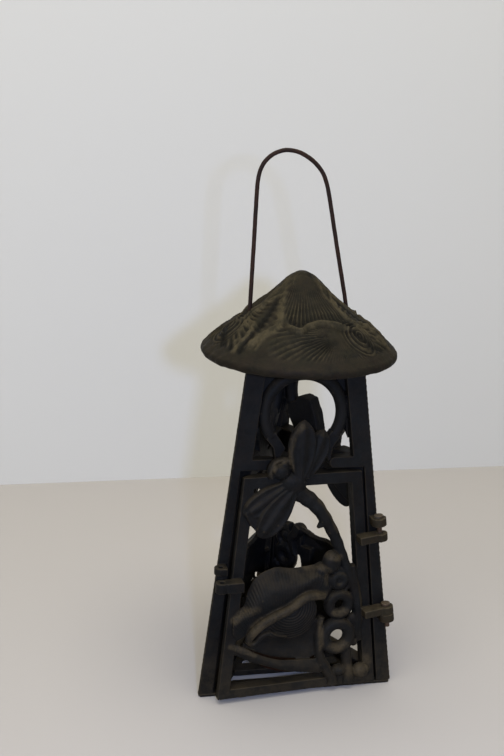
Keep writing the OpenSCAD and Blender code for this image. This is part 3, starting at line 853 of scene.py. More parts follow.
@dataclass(frozen=True)
class Panels:
    """The three leaning faces of the body, and a face's own axes: across, up and outward."""

    base_side: float = 126.0
    top_side: float = 71.8
    height: float = 212.0
    thickness: float = 8.5
    joint_gap: float = 0.2
    corner_flat: float = 0.8
    floor: float = 2.0
    post_foot: float = 9.8
    post_bar: float = 6.2
    window_post: float = 12.6
    bar_low: float = 144.6
    bar_height: float = 6.6
    bar_split: float = 33.0
    top_rail: float = 8.0
    moon_height: float = 178.4
    moon_radius: float = 23.75
    moon_width: float = 7.5
    moon_open: float = 54.0

    @property
    def shrink(self) -> float:
        """Half width lost per millimetre of height."""
        return (self.base_side - self.top_side) / 2 / self.height

    @property
    def inradius(self) -> float:
        """Distance of a face from the middle at the foot."""
        return self.base_side / (2 * math.sqrt(3))

    @property
    def lean(self) -> float:
        """Angle by which a face leans in."""
        return math.atan(self.shrink / math.sqrt(3))

    @property
    def splay(self) -> float:
        """Angle of a face's side edges in its own plane."""
        return math.atan(self.shrink * math.cos(self.lean))

    def half(self, up: float) -> float:
        """Half the face's width at a place up the face."""
        return self.base_side / 2 - math.tan(self.splay) * up

    def post(self, up: float) -> float:
        """A post's width beside the lower opening."""
        return self.post_foot + (self.post_bar - self.post_foot) * up / self.bar_low

    def opening(self, up: float) -> float:
        """Half the lower opening's width."""
        return self.half(up) - self.post(up)

    def window(self, up: float) -> float:
        """Half the moon window's width."""
        return self.half(up) - self.window_post

    def up(self, z: float) -> float:
        """A height above the table as a place up the face."""
        return z / math.cos(self.lean)

    def place(self, turn: float) -> Matrix:
        """Carries a face's own metres into the lantern's, for a face turned about the middle by degrees."""
        stand = Matrix.Rotation(math.pi / 2 - self.lean, 4, "X")
        out = Matrix.Translation((0, -self.inradius * MM, 0))
        return Matrix.Rotation(math.radians(turn), 4, "Z") @ out @ stand

    def planes(self, gap: float, low: float, high: float) -> list:
        """The mitre planes at both sides, and the floor and top, in a face's own millimetres."""
        turn = self.place(0).to_3x3()
        shift = Vector((0, -self.inradius, 0))
        found = []
        for side in (-1, 1):
            normal = Vector((side * math.cos(math.radians(60)), math.sin(math.radians(60)), 0))
            local = turn.transposed() @ normal
            found.append((local * (-gap / 2 - normal.dot(shift)), local))
        for level, sign in ((low, -1), (high, 1)):
            local = turn.transposed() @ Vector((0, 0, sign))
            found.append((local * (sign * level), local))
        return found


PANELS = Panels()


@dataclass
class PanelFrame:
    """The plain bars of a face: posts, top rail, split cross bar and moon ring."""

    panels: Panels = PANELS
    leg_half: float = 3.4
    leg_root: float = 1.5
    leg_foot: tuple = ((-2.6, 10.4), (7.6, 14.6), (3.4, 6.0))

    def bars(self) -> list:
        """The bars as parts in the face's own millimetres."""
        p = self.panels
        over = 1.0
        top = p.up(p.height) + p.thickness
        low_win, high_win = p.bar_low + p.bar_height, p.height - p.top_rail
        edge = p.corner_flat
        parts = []
        for s in (-1, 1):
            foot = [(s * p.opening(-over), -over), (s * (p.half(-over) - edge), -over),
                    (s * (p.half(top) - edge), top), (s * p.window(top), top), (s * p.window(low_win), low_win),
                    (s * p.window(low_win), p.bar_low), (s * p.opening(p.bar_low), p.bar_low)]
            parts.append(prism(foot, -p.thickness, 0))
            inner = p.bar_split / 2 + p.bar_height / 2
            bar = [(s * inner, p.bar_low), (s * (p.half(low_win) - 4), p.bar_low), (s * (p.half(low_win) - 4), low_win),
                   (s * inner, low_win)]
            parts.append(prism(bar, -p.thickness, 0))
            middle = np.array([[s * inner, p.bar_low + p.bar_height / 2, t] for t in (-p.thickness, 0)])
            parts.append(rod(middle[0], middle[1], p.bar_height / 2, 24))
        rail = [(-p.window(high_win) - 2, high_win), (p.window(high_win) + 2, high_win), (p.window(top) + 2, top),
                (-p.window(top) - 2, top)]
        parts.append(prism(rail, -p.thickness, 0))
        return parts

    def moon(self) -> list:
        """The open ring and its two legs."""
        p = self.panels
        mid = -p.thickness / 2
        turns = np.radians(np.linspace(-90 + p.moon_open, 270 - p.moon_open, 73))
        path = np.stack([p.moon_radius * np.cos(turns), p.moon_height + p.moon_radius * np.sin(turns),
                         np.full(len(turns), mid)], 1)
        half = np.full(len(turns), p.moon_width / 2)
        parts = [tube(path, half, half * 1.05)]
        outline = [(self.leg_half, -self.leg_root), (-self.leg_half, -self.leg_root), *self.leg_foot]
        for side in (-1, 1):
            leg = prism(outline, -self.leg_half, self.leg_half)
            turn = Matrix.Rotation(math.radians(-90 - p.moon_open), 4, "Z")
            flip = Matrix.Diagonal((-side, 1, 1, 1))
            put = Matrix.Translation((0, p.moon_height, mid)) @ flip @ turn @ Matrix.Translation((p.moon_radius, 0, 0))
            parts.append(moved(leg, put))
        return parts


def rod(start: np.ndarray, end: np.ndarray, radius: float, sides: int = 20) -> Part:
    """A plain round rod between two points."""
    start, end = Vector(start), Vector(end)
    turn = (end - start).to_track_quat("Z", "Y").to_matrix()
    ring = [turn @ Vector((math.cos(a) * radius, math.sin(a) * radius, 0))
            for a in np.arange(sides) * 2 * math.pi / sides]
    points = np.array([start + r for r in ring] + [end + r for r in ring])
    faces = [list(range(sides - 1, -1, -1)), list(range(sides, 2 * sides))]
    faces += [[i, (i + 1) % sides, (i + 1) % sides + sides, i + sides] for i in range(sides)]
    return points, faces


def collar(low: float, high: float, outer: float, inner: float, sides: int = 32) -> Part:
    """A round collar with a bore along the second axis, about the origin."""
    turn = np.arange(sides) * 2 * math.pi / sides
    rings = [(outer, low), (outer, high), (inner, high), (inner, low)]
    points = np.array([[r * math.cos(a), y, r * math.sin(a)] for r, y in rings for a in turn])
    faces = [[k * sides + i, k * sides + (i + 1) % sides, (k + 1) % 4 * sides + (i + 1) % sides, (k + 1) % 4 * sides + i]
             for k in range(4) for i in range(sides)]
    return points, faces


@dataclass
class Dragonfly:
    """The dragonfly: four wings with raised rims and veins, a head with two eyes, and a long ringed tail."""

    upper_wings: tuple = (((-4, 139), (-1.8, 176.6), 17.6, 2.4, 1, 0.75), ((0.5, 141), (11.4, 170), 15, 1.2, 1, 0.7))
    lower_wings: tuple = (((-9, 138.5), (-37.4, 119.5), 14.5, 0.2, 1, 0.5), ((-6, 136.5), (-27.8, 105.8), 17, 1.6, 1, 0.5))
    wing_thick: float = 3.2
    outer_low: tuple = (2.4, 1.6)
    outer_width: float = 9.0
    widest: float = 0.6
    rim_high: float = 0.5
    vein_high: float = 0.5
    vein_reach: float = 0.85
    tail: tuple = ((-4.4, 132.2), (2.8, 127.2), (9, 121.6), (14.6, 113.6), (20, 104.2), (24, 95), (27.5, 86),
                   (31.5, 76.5), (34.7, 67.5), (36.8, 58))
    tail_width: tuple = (11, 10, 9, 8, 7.4, 7, 6.8, 6, 5.4, 4.6)
    tail_ring: float = 0.045
    join: tuple = ((-37, 121), (-35.2, 117.4), (-32.8, 113), (-30, 110), (-26, 112), (-26, 124), (-34, 124.6))
    thorn: tuple = ((16, 114), (13.4, 111), (9.6, 108.2))
    thorn_size: tuple = (3.8, 3, 0.8)
    head: tuple = (-15, 146, 1.4)
    head_size: tuple = (5.6, 5.2, 4.6)
    hood: float = 7.0
    hood_turn: tuple = (20, 215)
    hood_thick: float = 1.7
    eyes: tuple = ((-18.6, 147.6, 2.6), (-13.4, 150, 2.4))
    eye_size: float = 2.6
    web: tuple = ((20.6, 164.7), (18.3, 170.1), (12.5, 173.8), (10, 177), (6, 178.6), (-1, 177.6), (-5, 168),
                  (-7.5, 158), (-8, 150), (-4, 142), (10, 142), (14, 154.7), (17.7, 160.1))
    chest: tuple = (-6.8, 138.4, 0.6)
    chest_size: tuple = (8.2, 7.4, 5.4)

    def wing(self, root: tuple, tip: tuple, width: float, low: float, veins: float, point: float,
             drop: float = 0.0) -> Part:
        """One wing as a closed sheet with a crowned, veined face.

        Args:
            root: Where it leaves the chest, across and up.
            tip: Its tip.
            width: Its greatest width.
            low: Depth of its face at the edge.
            veins: Number of ridges beside the midrib on each side.
            point: How pointed its tip is, from 0.5 for a round one.
            drop: How much further back it lies.

        Returns:
            The wing's points and faces.
        """
        root, tip = np.array(root, float), np.array(tip, float)
        run = tip - root
        side = np.array([-run[1], run[0]]) / np.linalg.norm(run)
        u, v = np.meshgrid(np.linspace(0, 1, 60), np.linspace(-1, 1, 49), indexing="ij")
        rise = 0.25 + 0.75 * np.sin(np.pi / 2 * np.minimum(u / self.widest, 1))
        half = 1 - np.clip((u - self.widest) / (1 - self.widest), 0, 0.999) ** 2
        half = half ** point * width / 2 * rise
        flat = root + run * u[..., None] + side * (half * v)[..., None]
        rim = np.exp(-((np.abs(v) - self.vein_reach) / 0.1) ** 2) * self.rim_high
        ribs = self.vein_high * np.cos(v * veins * 2 * np.pi / self.vein_reach)
        crown = low - drop + self.wing_thick * (0.3 + 0.7 * (1 - v ** 2) ** 0.7) * np.minimum(1, 6 * (1 - u) + 0.2)
        front = np.dstack([flat, crown + (rim + ribs) * np.minimum(1, 5 * u * (1 - u) + 0.1)])
        back = np.dstack([flat, np.full_like(u, low - drop - 0.8)])
        return closed_sheet(front, back)

    def parts(self, drop: float = 0.0) -> list:
        """All its parts in the face's own millimetres.

        Args:
            drop: How far the upper wings lie back. Then a web and a second pair of wings lie on their outer side.

        Returns:
            The parts.
        """
        made = [self.wing(*w, drop=drop) for w in self.upper_wings] + [self.wing(*w) for w in self.lower_wings]
        line = curve([(x, y, -0.6) for x, y in self.tail], 6)
        wide = curve([(w,) for w in self.tail_width], 6)[:, 0] / 2
        along = np.arange(len(line))
        bulge = 1 + self.tail_ring * np.sin(along * 1.15)
        made.append(tube(line, wide * bulge, np.minimum(wide, 4.2) * bulge))
        made.append(tube(np.array([[x, y, -0.5] for x, y in self.thorn]), self.thorn_size, self.thorn_size))
        if not drop:
            made.append(prism(list(self.join), -0.6, 2.4))
        made.append(blob(self.head, self.head_size))
        turn = np.radians(np.linspace(*self.hood_turn, 25))
        hood = np.stack([self.head[0] + self.hood * np.cos(turn), self.head[1] + self.hood * np.sin(turn),
                         np.full(25, 0.4)], 1)
        made.append(tube(hood, np.full(25, self.hood_thick), np.full(25, 3.4)))
        made += [blob(eye, (self.eye_size,) * 3, 8) for eye in self.eyes]
        made.append(blob(self.chest, self.chest_size))
        made.append(box((self.chest[0] - 6, self.chest[1] - 8, -6), (self.chest[0] + 6, self.chest[1] + 1, 2)))
        if drop:
            made.append(prism(list(self.web), -4, 3.6))
            for (root, tip, width, deep, *rest), low in zip(self.upper_wings, self.outer_low):
                made.append(self.wing(root, tip, self.outer_width, low, *rest))
        return made


@dataclass
class LotusLeaf:
    """The big lotus leaf with its front edge rolled over, and a small leaf below it."""

    back: tuple = ((-43, 60, -2), (-36, 62, -1.5), (-33.6, 71, -1.5), (-28, 80, -1.5), (-17, 84.8, -1.5),
                   (-6, 83.6, -1.5), (3, 84, -1.5), (10, 84.6, -1.5), (15.5, 82.5, -1.5), (16.5, 76, -1.5))
    crown: tuple = ((-43, 54, 1), (-35.5, 57, 3), (-30.5, 63, 4.5), (-24.5, 69, 5.5), (-15, 73, 6), (-6, 74.5, 6),
                    (2, 77, 6), (8.5, 79, 5.5), (14, 77, 4.5), (17, 72, 3))
    fall: tuple = ((-43, 46, 1), (-36, 50.5, 2.4), (-28, 54.5, 3.6), (-20, 58.5, 4.4), (-12, 62.5, 5), (-5, 66.5, 5.2),
                   (1, 70.2, 5.2), (7, 71.6, 5), (12.5, 70.5, 4.4), (17, 66.5, 3))
    under: tuple = ((-41, 39.5, 0), (-35, 43.5, 2), (-28, 46.8, 3), (-20.5, 50, 3.6), (-12.5, 54, 4),
                    (-5, 58.6, 4.2), (1, 62.4, 4.2), (7, 64.6, 4), (12, 64, 3), (16, 61.5, 1.5))
    thickness: float = 2.6
    lip: tuple = ((-33, 40.4, 4.4, 1.9), (-34.4, 43.2, 5.4, 2.4), (-31.3, 47.8, 6.2, 2.8), (-26.5, 52.2, 6.6, 2.9),
                  (-19.2, 56.1, 6.8, 2.9), (-10.4, 59.5, 6.8, 2.9), (-3.6, 63.8, 6.6, 2.9), (1.3, 66.6, 6.4, 3),
                  (7.3, 67, 5.8, 2.9), (13.9, 65.2, 3.6, 2.2))
    curl: tuple = ((-34.2, 41.4, 4.6, 1.7), (-31.6, 39.4, 5, 1.8), (-29, 40.8, 5.2, 1.8), (-26.8, 43.6, 5.2, 1.7),
                   (-22.6, 45.3, 5, 1.6), (-16.6, 43.9, 4.4, 1.5), (-10.1, 41.6, 3.4, 1.2))
    swell: tuple = (((-30, 45, 4), (-26.5, 49.5, 4.5), (-19.2, 53.5, 4.6), (-10.4, 57, 4.6), (-3.6, 61, 4.4),
                     (1.3, 64, 4.2), (5, 64.6, 3.6), (9, 62, 2.6)),
                    ((-29, 42.6, 3.4), (-24, 47, 4.4), (-17, 49, 5), (-9.5, 50, 5.6), (-3, 52, 5.8), (2, 54, 5.4),
                     (6.4, 56, 4.4), (10, 57.4, 2.6)),
                    ((-28, 41.4, 2.4), (-22.6, 44.4, 3), (-14.5, 41.8, 3), (-8.9, 40, 2.8), (-1.9, 40.2, 2.6),
                     (4.1, 42.6, 2), (8.2, 47.4, 1.4), (10.4, 53.6, 1.4)))
    hollow: tuple = (((-34, 41, 0), (-27, 43, 1), (-20, 44, 1), (-12, 42.5, 1), (-3, 41, 1), (5, 43.6, 0.4), (11, 50, 0)),
                     ((-34.6, 38.6, -1.6), (-28, 37, -2.4), (-19, 35, -2.8), (-11, 33.6, -2.8), (-2, 33, -2.4),
                      (6, 35, -1.8), (13, 40, -1)),
                     ((-36, 35.5, -1.8), (-29, 31.5, -2), (-18, 27, -2), (-8, 24.6, -1.8), (0, 23.6, -1.6),
                      (8, 23.4, -1), (14.5, 28, -0.6)))
    small: tuple = (((-46, 42, -2), (-40.6, 38.4, -0.4), (-33.7, 35, 0.8), (-27.7, 31.4, 1.2), (-17.6, 27, 1.4),
                     (-7.4, 24.6, 1), (14, 22.4, 0)),
                    ((-46, 37, -1.4), (-41, 34, 0.8), (-32, 30, 2.2), (-23, 26, 2.8), (-14, 22.6, 2.8),
                     (-4, 20, 2.4), (14.4, 17, 0.8)),
                    ((-46, 32, -2.6), (-41, 30.4, -0.8), (-31, 25.4, 0.4), (-20.5, 21.6, 1), (-11.4, 18.2, 1),
                     (-0.4, 15.2, 0.6), (15, 12, -0.8)))
    vein_line: float = 1.6
    vein_deep: float = 0.13
    swell_line: float = 1.7
    swell_deep: float = 0.26
    swell_heart: tuple = (-8, 61)

    def rolled(self, line: tuple) -> Part:
        """A rolled edge: a round roll along points that hold across, up, outward and radius."""
        path = curve([p[:3] for p in line], 6)
        radius = curve([(p[3],) for p in line], 6)[:, 0]
        return tube(path, radius, radius)

    def parts(self) -> list:
        """All its parts in the face's own millimetres."""
        sheet = patch([self.back, self.crown, self.fall, self.under], 8, 6)
        sheets = [sheet] + [patch(list(rows), 6, 6) for rows in (self.swell, self.hollow, self.small)]
        return [thick_sheet(made, self.thickness) for made in sheets] + [self.rolled(self.lip), self.rolled(self.curl)]

    def ribs(self, place: np.ndarray) -> np.ndarray:
        """Fine veins on the leaf's face and curved lines on its swelling underside.

        Args:
            place: Points in the face's own millimetres.

        Returns:
            How far each point is raised.
        """
        x, y, out = place.T
        upper = np.interp(x, [r[0] for r in self.lip[1:]], [r[1] for r in self.lip[1:]]) + 2.6
        top = np.interp(x, [r[0] for r in self.back[2:9]], [r[1] for r in self.back[2:9]])
        shown = (out > 0) & (x > -44) & (x < 17.5)
        above = shown & (y > upper) & (y < top - 0.5)
        fan = np.arctan2(x + 8, y - 10) * 56
        fade = np.clip((y - upper) / 3, 0, 1) * np.clip((top - 0.5 - y) / 2, 0, 1)
        lift = np.where(above, self.vein_deep * np.sin(fan * 2 * np.pi / self.vein_line) * fade, 0)
        beside = np.hypot(x - self.swell_heart[0], y - self.swell_heart[1])
        front = shown & (out > 2) & (y < upper - 5.4) & (y > 39.5) & (x > -21) & (x < 10)
        edge = np.clip((beside - 4) / 3, 0, 1)
        lift += np.where(front, self.swell_deep * np.sin(beside * 2 * np.pi / self.swell_line) * edge, 0)
        return lift


@dataclass
class Pods:
    """The seed pod, the curl under it, the two round loops and the stems down to the bottom rail.

    A loop is its middle, its outer and inner radius and the level of its middle.
    """

    pod: tuple = (18.9, 86.2, 1.4)
    pod_size: tuple = (5.9, 7.6, 5)
    loops: tuple = ((24.3, 73.4, 6.2, 0.9, 0.4), (25.5, 57.4, 9.8, 2.9, -0.6), (24.7, 36.4, 12.3, 4.3, -0.8))
    stems: tuple = ((((14.6, 50), (13, 44), (12.4, 38), (13, 29), (15, 21.5), (18.5, 15), (22.5, 8), (23, 4)),
                     (2.2, 2.4, 2.6, 2.8, 3.2, 3.4, 3.6, 4.2)),
                    (((31, 30), (31.7, 23.7), (33.3, 11), (33.4, 4)), (3.4, 3.3, 3.6, 4.2)),
                    (((33, 82), (35.2, 72), (36.8, 64), (38.6, 50), (38.4, 39), (40.4, 32)),
                     (2.4, 2.8, 3.2, 3.4, 3, 2.2)),
                    (((19.5, 81), (24, 80.4), (29.5, 77), (31.5, 70), (29, 65.5)), (3, 2.8, 2.4, 2, 1.6)),
                    (((12, 84), (14.5, 78), (18.5, 72.5), (17, 65), (14.5, 61)), (3.4, 3.4, 3, 2.4, 2)))
    lumps: tuple = (((27, 13, -1), (4.6, 3.6, 4)), ((42, 11, -1), (5.8, 5, 4.4)), ((12.5, 81, 0.6), (5, 4.4, 4)), ((36.4, 31, -1), (2.6, 3, 3)),
                    ((35, 46.5, -1.2), (3.4, 4, 2.6)), ((24.3, 73.4, -0.8), (4.2, 3.6, 3)))

    def parts(self) -> list:
        """All its parts in the face's own millimetres."""
        made = [blob(self.pod, self.pod_size)]
        turn = np.arange(48) * 2 * math.pi / 48
        for x, y, outer, inner, level in self.loops:
            mid, half = (outer + inner) / 2, (outer - inner) / 2
            path = np.stack([x + mid * np.cos(turn), y + mid * np.sin(turn), np.full(48, level)], 1)
            made.append(tube(path, np.full(48, half), np.full(48, half * 1.06), closed=True))
        for line, half in self.stems:
            path = curve([(x, y, -1.5) for x, y in line], 6)
            width = curve([(w,) for w in half], 6)[:, 0]
            made.append(tube(path, width, np.minimum(width + 0.6, 4)))
        made += [blob(*lump) for lump in self.lumps]
        return made


@dataclass
class DoorFrame:
    """The door's own bars, its hinge lugs and its catch tab."""

    panels: Panels = PANELS
    gap: float = 1.4
    low: float = 2.8
    high: float = 142.0
    stile: float = 7.0
    rail: float = 7.0
    sill: float = 6.0
    hinge_in: float = 1.3
    hinge_out: float = 5.2
    lug_radius: float = 4.6
    bore: float = 1.6
    lugs: tuple = ((98.8, 103.6), (51.0, 55.6))
    tab: tuple = (74.4, 80.6)
    tab_in: float = 2.6
    tab_out: float = 4.2
    tab_radius: float = 4.0
    clear: float = 0.3

    def half(self, up: float) -> float:
        """Half the door's width."""
        return self.panels.opening(up) - self.gap

    def bars(self) -> list:
        """Stiles and rails."""
        low, high = self.panels.up(self.low), self.panels.up(self.high)
        deep = self.panels.thickness
        parts = []
        for s in (-1, 1):
            stile = [(s * (self.half(low) - self.stile), low), (s * self.half(low), low), (s * self.half(high), high),
                     (s * (self.half(high) - self.stile), high)]
            parts.append(prism(stile, -deep, 0))
        for foot, head in ((low, low + self.sill), (high - self.rail, high)):
            rail = [(-self.half(foot) + 1, foot), (self.half(foot) - 1, foot), (self.half(head) - 1, head),
                    (-self.half(head) + 1, head)]
            parts.append(prism(rail, -deep, 0))
        return parts

    def hinge_parts(self) -> list:
        """The two bored lugs with their arms, and the catch tab with its hole."""
        p = self.panels
        put = (Matrix.Translation((p.base_side / 2 - self.hinge_in, 0, self.hinge_out))
               @ Matrix.Rotation(p.splay, 4, "Z"))
        parts = []
        for low, high in self.lugs:
            foot, head = p.up(low) / math.cos(p.splay), p.up(high) / math.cos(p.splay)
            edge = (self.gap + p.post(low) - self.hinge_in) * math.cos(p.splay) + 0.5
            arm = edge + self.stile - 1
            floor = self.clear - self.hinge_out
            parts.append(moved(collar(foot, head, self.lug_radius, self.bore), put))
            parts.append(moved(box((-arm, foot, floor), (-self.bore - 1, head, 3.2)), put))
            parts.append(moved(box((-arm, foot, -self.hinge_out - 1), (-edge, head, 0)), put))
        low, high = (p.up(z) for z in self.tab)
        x = -(p.half(low) - self.tab_in)
        put = Matrix.Translation((x, 0, self.tab_out))
        parts.append(moved(collar(low, high, self.tab_radius, self.bore), put))
        reach = p.post(low) + self.gap + self.stile - self.tab_in - 1
        floor = self.clear - self.tab_out
        parts.append(moved(box((self.bore + 1, low, floor), (reach, high, self.tab_radius)), put))
        parts.append(moved(box((reach - self.stile + 1, low, -self.tab_out - 1), (reach, high, 1)), put))
        return parts


@dataclass
class Sculpture:
    """What the door and the rear panels have in common: the dragonfly over the lotus."""

    dragonfly: Dragonfly = field(default_factory=Dragonfly)
    leaf: LotusLeaf = field(default_factory=LotusLeaf)
    pods: Pods = field(default_factory=Pods)

    sink: float = 0.0
    shift: float = 0.0
    wing_drop: float = 0.0
    front_clear: float = 0.8
    rubbed: tuple = ((((-33.5, 42), (-31, 48.6), (-26.5, 53), (-19.2, 57), (-10.4, 60.4), (-3.6, 64.8), (1.3, 67.8),
                       (7.3, 68), (13.9, 66)), 2.2),
                     (((-42, 54), (-37, 58.5), (-29, 61)), 2.0), (((3, 84), (10, 85), (16, 82), (15, 74)), 1.6),
                     (((21.5, 53), (25.5, 52), (29.5, 53.4)), 1.7), (((19.6, 31), (24.7, 29.4), (30, 31)), 2.0),
                     (((13.6, 49), (13.2, 40), (13.6, 30)), 1.4), (((34, 13), (41, 11), (44, 17)), 4.0),
                     (((-44, 37), (-35, 33.5), (-29, 31)), 1.4), (((-9.5, 149), (-10.6, 158), (-8.4, 167), (-3.4, 173.6)), 1.3),
                     (((-22, 144), (-19, 151), (-12, 153.5)), 1.3), (((-44, 112), (-42, 121)), 2.2),
                     (((10, 127), (17.5, 117), (22, 106)), 1.3), (((16, 91), (24, 89)), 1.6))

    def fill(self, casting: Casting, planes: list, over: float = math.inf) -> None:
        """Adds all the parts and the rubbed places to a casting.

        Args:
            casting: The casting.
            planes: Planes that the parts are pressed back to.
            over: Height from which the parts stay in front of the face, clear of the frame behind them.
        """
        casting.rubbed += self.rubbed
        back = Matrix.Translation((self.shift, 0, -self.sink))
        for part in self.dragonfly.parts(self.wing_drop) + self.leaf.parts() + self.pods.parts():
            points, faces = pressed(moved(part, back), planes)
            above = points[:, 1] > over
            points[above, 2] = np.maximum(points[above, 2], self.front_clear)
            casting.add((points, faces))

    def carve(self, place: np.ndarray, normal: np.ndarray) -> np.ndarray:
        """Fine relief on the melted surface."""
        facing = np.clip(normal[:, 2] * 2, 0, 1)
        return self.leaf.ribs(place + [-self.shift, 0, self.sink]) * facing


@dataclass
class DoorPiece:
    """The whole door, cast in one and standing ajar."""

    frame: dict
    bars: DoorFrame = field(default_factory=DoorFrame)
    sculpture: Sculpture = field(default_factory=Sculpture)
    mitre_gap: float = 1.7

    def build(self, material: bpy.types.Material, worn: bpy.types.Material) -> None:
        """Makes and dresses the door, with its lugs in the worn finish."""
        joint = self.frame["joints"][0]
        ajar = math.radians(-joint["range_deg"][0])
        pivot = Vector(joint["pos_m"])
        swing = (Matrix.Translation(pivot) @ Matrix.Rotation(ajar, 4, Vector(joint["axis"]))
                 @ Matrix.Translation(-pivot))
        casting = Casting("door_casting", Body.DOOR, Slot.BODY, swing @ PANELS.place(0), seed=11)
        planes = PANELS.planes(self.mitre_gap, 0, PANELS.height)[:2]
        for bar in self.bars.bars():
            casting.bar(clipped(bar, planes))
        for part in self.bars.hinge_parts():
            casting.add(part)
        self.sculpture.fill(casting, planes, PANELS.up(self.bars.high))
        piece = casting.pour(self.sculpture.carve)
        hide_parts("door")
        wear(piece, material)
        wear_lugs(piece, worn, swing @ PANELS.place(0), 17)


@dataclass
class RearPanel:
    """One rear panel, with the same ornament cast in."""

    node: str
    turn: float
    seed: int
    panel: PanelFrame = field(default_factory=PanelFrame)
    bars: DoorFrame = field(default_factory=DoorFrame)
    sculpture: Sculpture = field(default_factory=lambda: Sculpture(
        sink=4.5, shift=4, wing_drop=4.6, pods=Pods(pod=(18.9, 75, 1.4), pod_size=(6.5, 5, 4.4)),
        dragonfly=Dragonfly(
            upper_wings=(((-2, 139), (0, 175), 12, 2.4, 1, 0.75), ((0.5, 141), (11.4, 168), 13, -0.6, 1, 0.7)),
            lower_wings=(((-9, 138.5), (-44, 118), 15, 0.2, 1, 0.5), ((-6, 136.5), (-31, 113), 15, 1.6, 1, 0.5)))))
    plugs: tuple = (((6, 52), (15, 50), (14.6, 56), (15.6, 60), (17.5, 64), (19, 69), (6, 70)),
                    ((25, 78), (37, 76), (39, 62), (40, 48), (33, 46), (24, 48), (21.5, 52), (21, 58), (23, 64),
                     (20, 66), (15, 70), (15, 80)))
    plug_deep: tuple = (-5.5, -2.5)
    corner: float = 17.0
    elbow: tuple = ((0, 174), (-6, 172), (-1, 161))

    def build(self, material: bpy.types.Material) -> None:
        """Makes and dresses the panel."""
        p = PANELS
        casting = Casting(self.node + "_casting", Body.LANTERN, Slot.BODY, p.place(self.turn), seed=self.seed,
                          floor=-p.thickness)
        planes = p.planes(p.joint_gap, p.floor, p.height)
        low, high = p.up(self.bars.low), p.up(self.bars.high)
        inner = self.bars
        deep = -p.thickness
        fill = []
        for s in (-1, 1):
            fill.append([(s * (inner.half(0) - inner.stile), 0), (s * (p.opening(0) + 1), 0),
                         (s * (p.opening(p.bar_low) + 1), p.bar_low), (s * (inner.half(high) - inner.stile), p.bar_low)])
        fill.append([(-p.opening(0), 0), (p.opening(0), 0), (p.opening(low), low + inner.sill),
                     (-p.opening(low), low + inner.sill)])
        fill.append([(-p.opening(high), high - inner.rail), (p.opening(high), high - inner.rail),
                     (p.opening(high), p.bar_low + 1), (-p.opening(high), p.bar_low + 1)])
        for part in self.panel.bars() + [prism(outline, deep, 0) for outline in fill]:
            casting.bar(clipped(part, planes))
        for part in self.panel.moon():
            casting.add(clipped(part, planes))
        for outline in self.plugs:
            casting.add(prism(list(outline), *self.plug_deep))
        for s in (-1, 1):
            top = p.height - p.top_rail + 1
            window = p.window(top) + 1
            casting.add(prism([(s * window, top), (s * (window - self.corner), top), (s * window, top - self.corner)],
                              deep, -1))
            casting.add(prism([(s * (p.window(y) + 1 + x), y) for x, y in self.elbow], deep, -1))
        self.sculpture.fill(casting, planes)
        piece = casting.pour(self.sculpture.carve)
        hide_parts(self.node)
        wear(piece, material)


@dataclass
class FrontFrame:
    """The plain front casting that carries the door."""

    frame: dict
    web_side: float = 15.0
    web_deep: tuple = (-8.2, -5.0)

    def web(self, side: int) -> Part:
        """The thin web in an upper corner of the window, in the lantern's millimetres."""
        top = PANELS.height - PANELS.top_rail + 1
        window = PANELS.window(top) + 1
        outline = [(side * window, top), (side * (window - self.web_side), top), (side * window, top - self.web_side)]
        points, faces = prism(outline, *self.web_deep)
        points, faces = moved((points * MM, faces), PANELS.place(0))
        return points / MM, faces

    def build(self, material: bpy.types.Material, worn: bpy.types.Material) -> None:
        """Makes and dresses the frame from its own solid, with its lugs in the worn finish."""
        webs = tuple(self.web(side) for side in (-1, 1))
        piece = recast(self.frame["nodes"]["front_frame"], "front_frame_casting", Body.LANTERN, Slot.BODY, 0.45, 0.05,
                       webs)
        wear(piece, material)
        wear_lugs(piece, worn, PANELS.place(0), 17)


def at_bearing(points: tuple) -> np.ndarray:
    """Plan points from pairs of a radius and a bearing in degrees, counted from the front towards the hinge."""
    radius, bearing = np.array(points, float).T
    return np.stack([radius * np.sin(np.radians(bearing)), -radius * np.cos(np.radians(bearing))], 1)


def within(spots: np.ndarray, outline: np.ndarray) -> np.ndarray:
    """Distance of plan points from a closed outline, positive inside it."""
    inside = np.zeros(len(spots), bool)
    x, y = spots.T
    for (ax, ay), (bx, by) in zip(outline, np.roll(outline, -1, 0)):
        if ay != by:
            inside ^= ((ay > y) != (by > y)) & (x < (bx - ax) * (y - ay) / (by - ay) + ax)
    distance = line_distance(spots, np.concatenate([outline, outline[:1]]))
    return np.where(inside, distance, -distance)


def smooth_step(value: np.ndarray, low: float, high: float) -> np.ndarray:
    """A value spread smoothly from 0 at low to 1 at high."""
    share = np.clip((value - low) / (high - low), 0, 1)
    return share * share * (3 - 2 * share)


